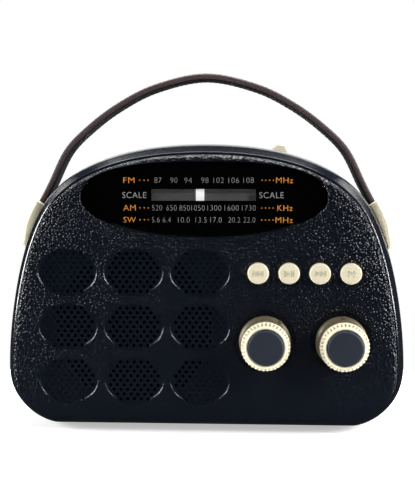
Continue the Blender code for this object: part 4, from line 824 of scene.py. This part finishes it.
# The bracket seen from the front, drawn in on every side by the squeeze.
def bracketOutline(side, squeeze):
    sizes = strapSizes
    inner, outer = [], []
    steps = 24
    margin = squeeze / 0.022
    for step in range(steps + 1):
        share = step / steps
        station = margin + (1 - 2 * margin) * share
        lower = math.sqrt(max(0.0, 1 - (1 - min(share / 0.12, 1.0)) ** 2))
        ramp = min(1.0, max(0.0, (share - 0.10) / 0.50))
        taper = 0.72 + 0.28 * ramp * ramp * (3 - 2 * ramp)
        lift = sizes["bracketThickness"] * max(0.3, lower) * taper
        inner.append(bracketStation(station, clearance + squeeze)[0])
        outer.append(bracketStation(station, clearance + max(lift - squeeze, squeeze + 0.0002))[0])
    return [Vector((side * point.x, point.y)) for point in inner + outer[::-1]]


def makeBrackets():
    sizes = strapSizes
    for name, side in (("left", -1), ("right", 1)):
        half = sizes["bracketWidth"] / 2
        nose = ((1.0, 0.0012), (0.985, 0.00085), (0.95, 0.0005), (0.90, 0.00025), (0.83, 0.00008), (0.75, 0.0))
        ends = [(-share, squeeze) for share, squeeze in nose] + list(reversed(nose))
        sections = [(bracketOutline(side, squeeze), sizes["depth"] + half * share) for share, squeeze in ends]
        bracket = loft(f"bracket{name.capitalize()}", sections, sharp=50)
        mouth, along = bracketStation(1.0, sizes["bracketThickness"] / 2 + clearance)
        middle = mouth - along * (sizes["tail"] / 2 + 0.0001 - 0.003)
        angle = side * math.atan2(along.x, along.y)
        cut(bracket, box("pocket", place(side * middle.x, sizes["depth"], middle.y),
                         (sizes["thickness"] + 0.0006, sizes["width"] + 0.0006, sizes["tail"] + 0.0062),
                         Matrix.Rotation(angle, 4, "Y")))
        cream.use(bracket)
        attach(bracket, "root")
        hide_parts(f"strap_bracket_{name}")


def makeLever():
    obj = copyOf("band_switch_lever", "bandLever")
    modifier = obj.modifiers.new("round", "BEVEL")
    modifier.width = 0.0005
    modifier.segments = 3
    modifier.limit_method = "ANGLE"
    cream.use(obj)


def makeDoor():
    obj = copyOf("battery_door", "bayDoor")
    shell.use(obj)
    bm = bmesh.new()
    for index in range(5):
        addBox(bm, place(0, case["depth"] - 0.0003, bay["z"] + 0.0095 - index * 0.0012),
               (0.014, 0.0005, 0.0005))
    newObject("doorGrips", bm, shell, "door")


basket = Finish("basket", (0.010, 0.010, 0.011), 0.6)


def finishOthers():
    smooth = {"antenna_swivel": chrome, "antenna_tube_1": chrome, "antenna_tube_2": chrome, "antenna_tube_3": chrome,
              "case_screw_1": steel, "case_screw_2": steel, "case_screw_3": steel, "case_screw_4": steel,
              "jack_socket": steel, "usb_socket": steel, "card_socket": steel, "power_socket": steel,
              "foot_1": rubber, "foot_2": rubber, "foot_3": rubber, "foot_4": rubber, "battery_cell": wrap,
              "battery_spring": steel, "battery_contact": steel}
    for node, finish in smooth.items():
        obj = copyOf(node, node.replace("_", "") + "Look")
        finish.use(obj)
    plain = {"pointer_rail": steel, "cord_pulley_left": white, "cord_pulley_right": white, "dial_cord": cordFinish,
             "dial_drum": white, "key_board": boardGreen, "volume_spindle": steel, "volume_control": steel,
             "tuning_spindle": steel, "tuning_capacitor": white, "speaker_frame": basket, "speaker_cone": paper,
             "speaker_magnet": ferrite, "main_board": boardGreen, "ferrite_rod": ferrite, "aerial_coil": copper,
             "band_switch_body": basket}
    for node, finish in plain.items():
        finish.use(nodes[node])


makeFront()
makeRear()
makeDial()
print("dial done")
makeKnob("volume", knob["volumeX"], "volume", math.radians(37))
makeKnob("tuning", knob["tuningX"], "tuning", math.radians(5))
makeKeys()
print("knobs and keys done")
makeStrap()
makeBrackets()
print("strap done")
makeLever()
makeDoor()
finishOthers()
print("small pieces done")

view = {"lens": 56.1774, "place": (0.0175, -0.3911, 0.1254), "yaw": 2.404, "pitch": 5.127}
camera = bpy.data.cameras.new("camera")
camera.sensor_width = 36
camera.lens = view["lens"]
cameraObject = bpy.data.objects.new("camera", camera)
bpy.context.scene.collection.objects.link(cameraObject)
yaw, pitch = math.radians(view["yaw"]), math.radians(view["pitch"])
forward = Vector((-math.sin(yaw) * math.cos(pitch), math.cos(yaw) * math.cos(pitch), -math.sin(pitch)))
cameraObject.location = view["place"]
cameraObject.rotation_euler = forward.to_track_quat("-Z", "Y").to_euler()
bpy.context.scene.camera = cameraObject

floorFinish = Finish("floorFinish", (0.93, 0.93, 0.93), 0.8, specular=0.1)
floorFinish.set("Emission Color", (1.0, 1.0, 1.0, 1.0))
floorFinish.set("Emission Strength", 0.45)
floorMesh = bmesh.new()
bmesh.ops.create_circle(floorMesh, cap_ends=True, segments=96, radius=0.17)
floor = newObject("floor", floorMesh, floorFinish)
floor.visible_glossy = False
world = bpy.data.worlds.new("world")
bpy.context.scene.world = world
world.use_nodes = True
backdrop = world.node_tree.nodes["Background"]
backdrop.inputs["Color"].default_value = (1, 1, 1, 1)
surround = world.node_tree.nodes.new("ShaderNodeBackground")
surround.inputs["Color"].default_value = (1, 1, 1, 1)
surround.inputs["Strength"].default_value = 0.03
seen = world.node_tree.nodes.new("ShaderNodeLightPath")
choose = world.node_tree.nodes.new("ShaderNodeMixShader")
world.node_tree.links.new(seen.outputs["Is Camera Ray"], choose.inputs["Fac"])
world.node_tree.links.new(surround.outputs["Background"], choose.inputs[1])
world.node_tree.links.new(backdrop.outputs["Background"], choose.inputs[2])
world.node_tree.links.new(choose.outputs["Shader"], world.node_tree.nodes["World Output"].inputs["Surface"])
bpy.context.scene.view_settings.view_transform = "Standard"


def areaLight(name, location, target, size, power):
    light = bpy.data.lights.new(name, "AREA")
    light.shape = "RECTANGLE"
    light.size, light.size_y = size
    light.energy = power
    obj = bpy.data.objects.new(name, light)
    bpy.context.scene.collection.objects.link(obj)
    obj.location = location
    obj.rotation_euler = (Vector(target) - Vector(location)).to_track_quat("-Z", "Y").to_euler()
    return obj


lights = {"overhead": ((0.0, 0.30, 1.0), (0, 0.03, 0), (0.9, 0.6), 24),
          "frontLeft": ((-0.95, -0.62, 0.60), (0, 0, 0.08), (0.25, 0.4), 4.5),
          "frontRight": ((0.95, -0.62, 0.70), (0, 0, 0.08), (0.25, 0.4), 10),
          "sideLeft": ((-0.9, -0.12, 0.25), (0, 0, 0.08), (0.10, 0.5), 9),
          "sideRight": ((0.9, -0.12, 0.25), (0, 0, 0.08), (0.10, 0.5), 9),
          "behind": ((0, 1.2, 0.45), (0, 0, 0.12), (1.6, 0.8), 8)}
for name, (location, target, size, power) in lights.items():
    areaLight(name, location, target, size, power)
print("lights done")
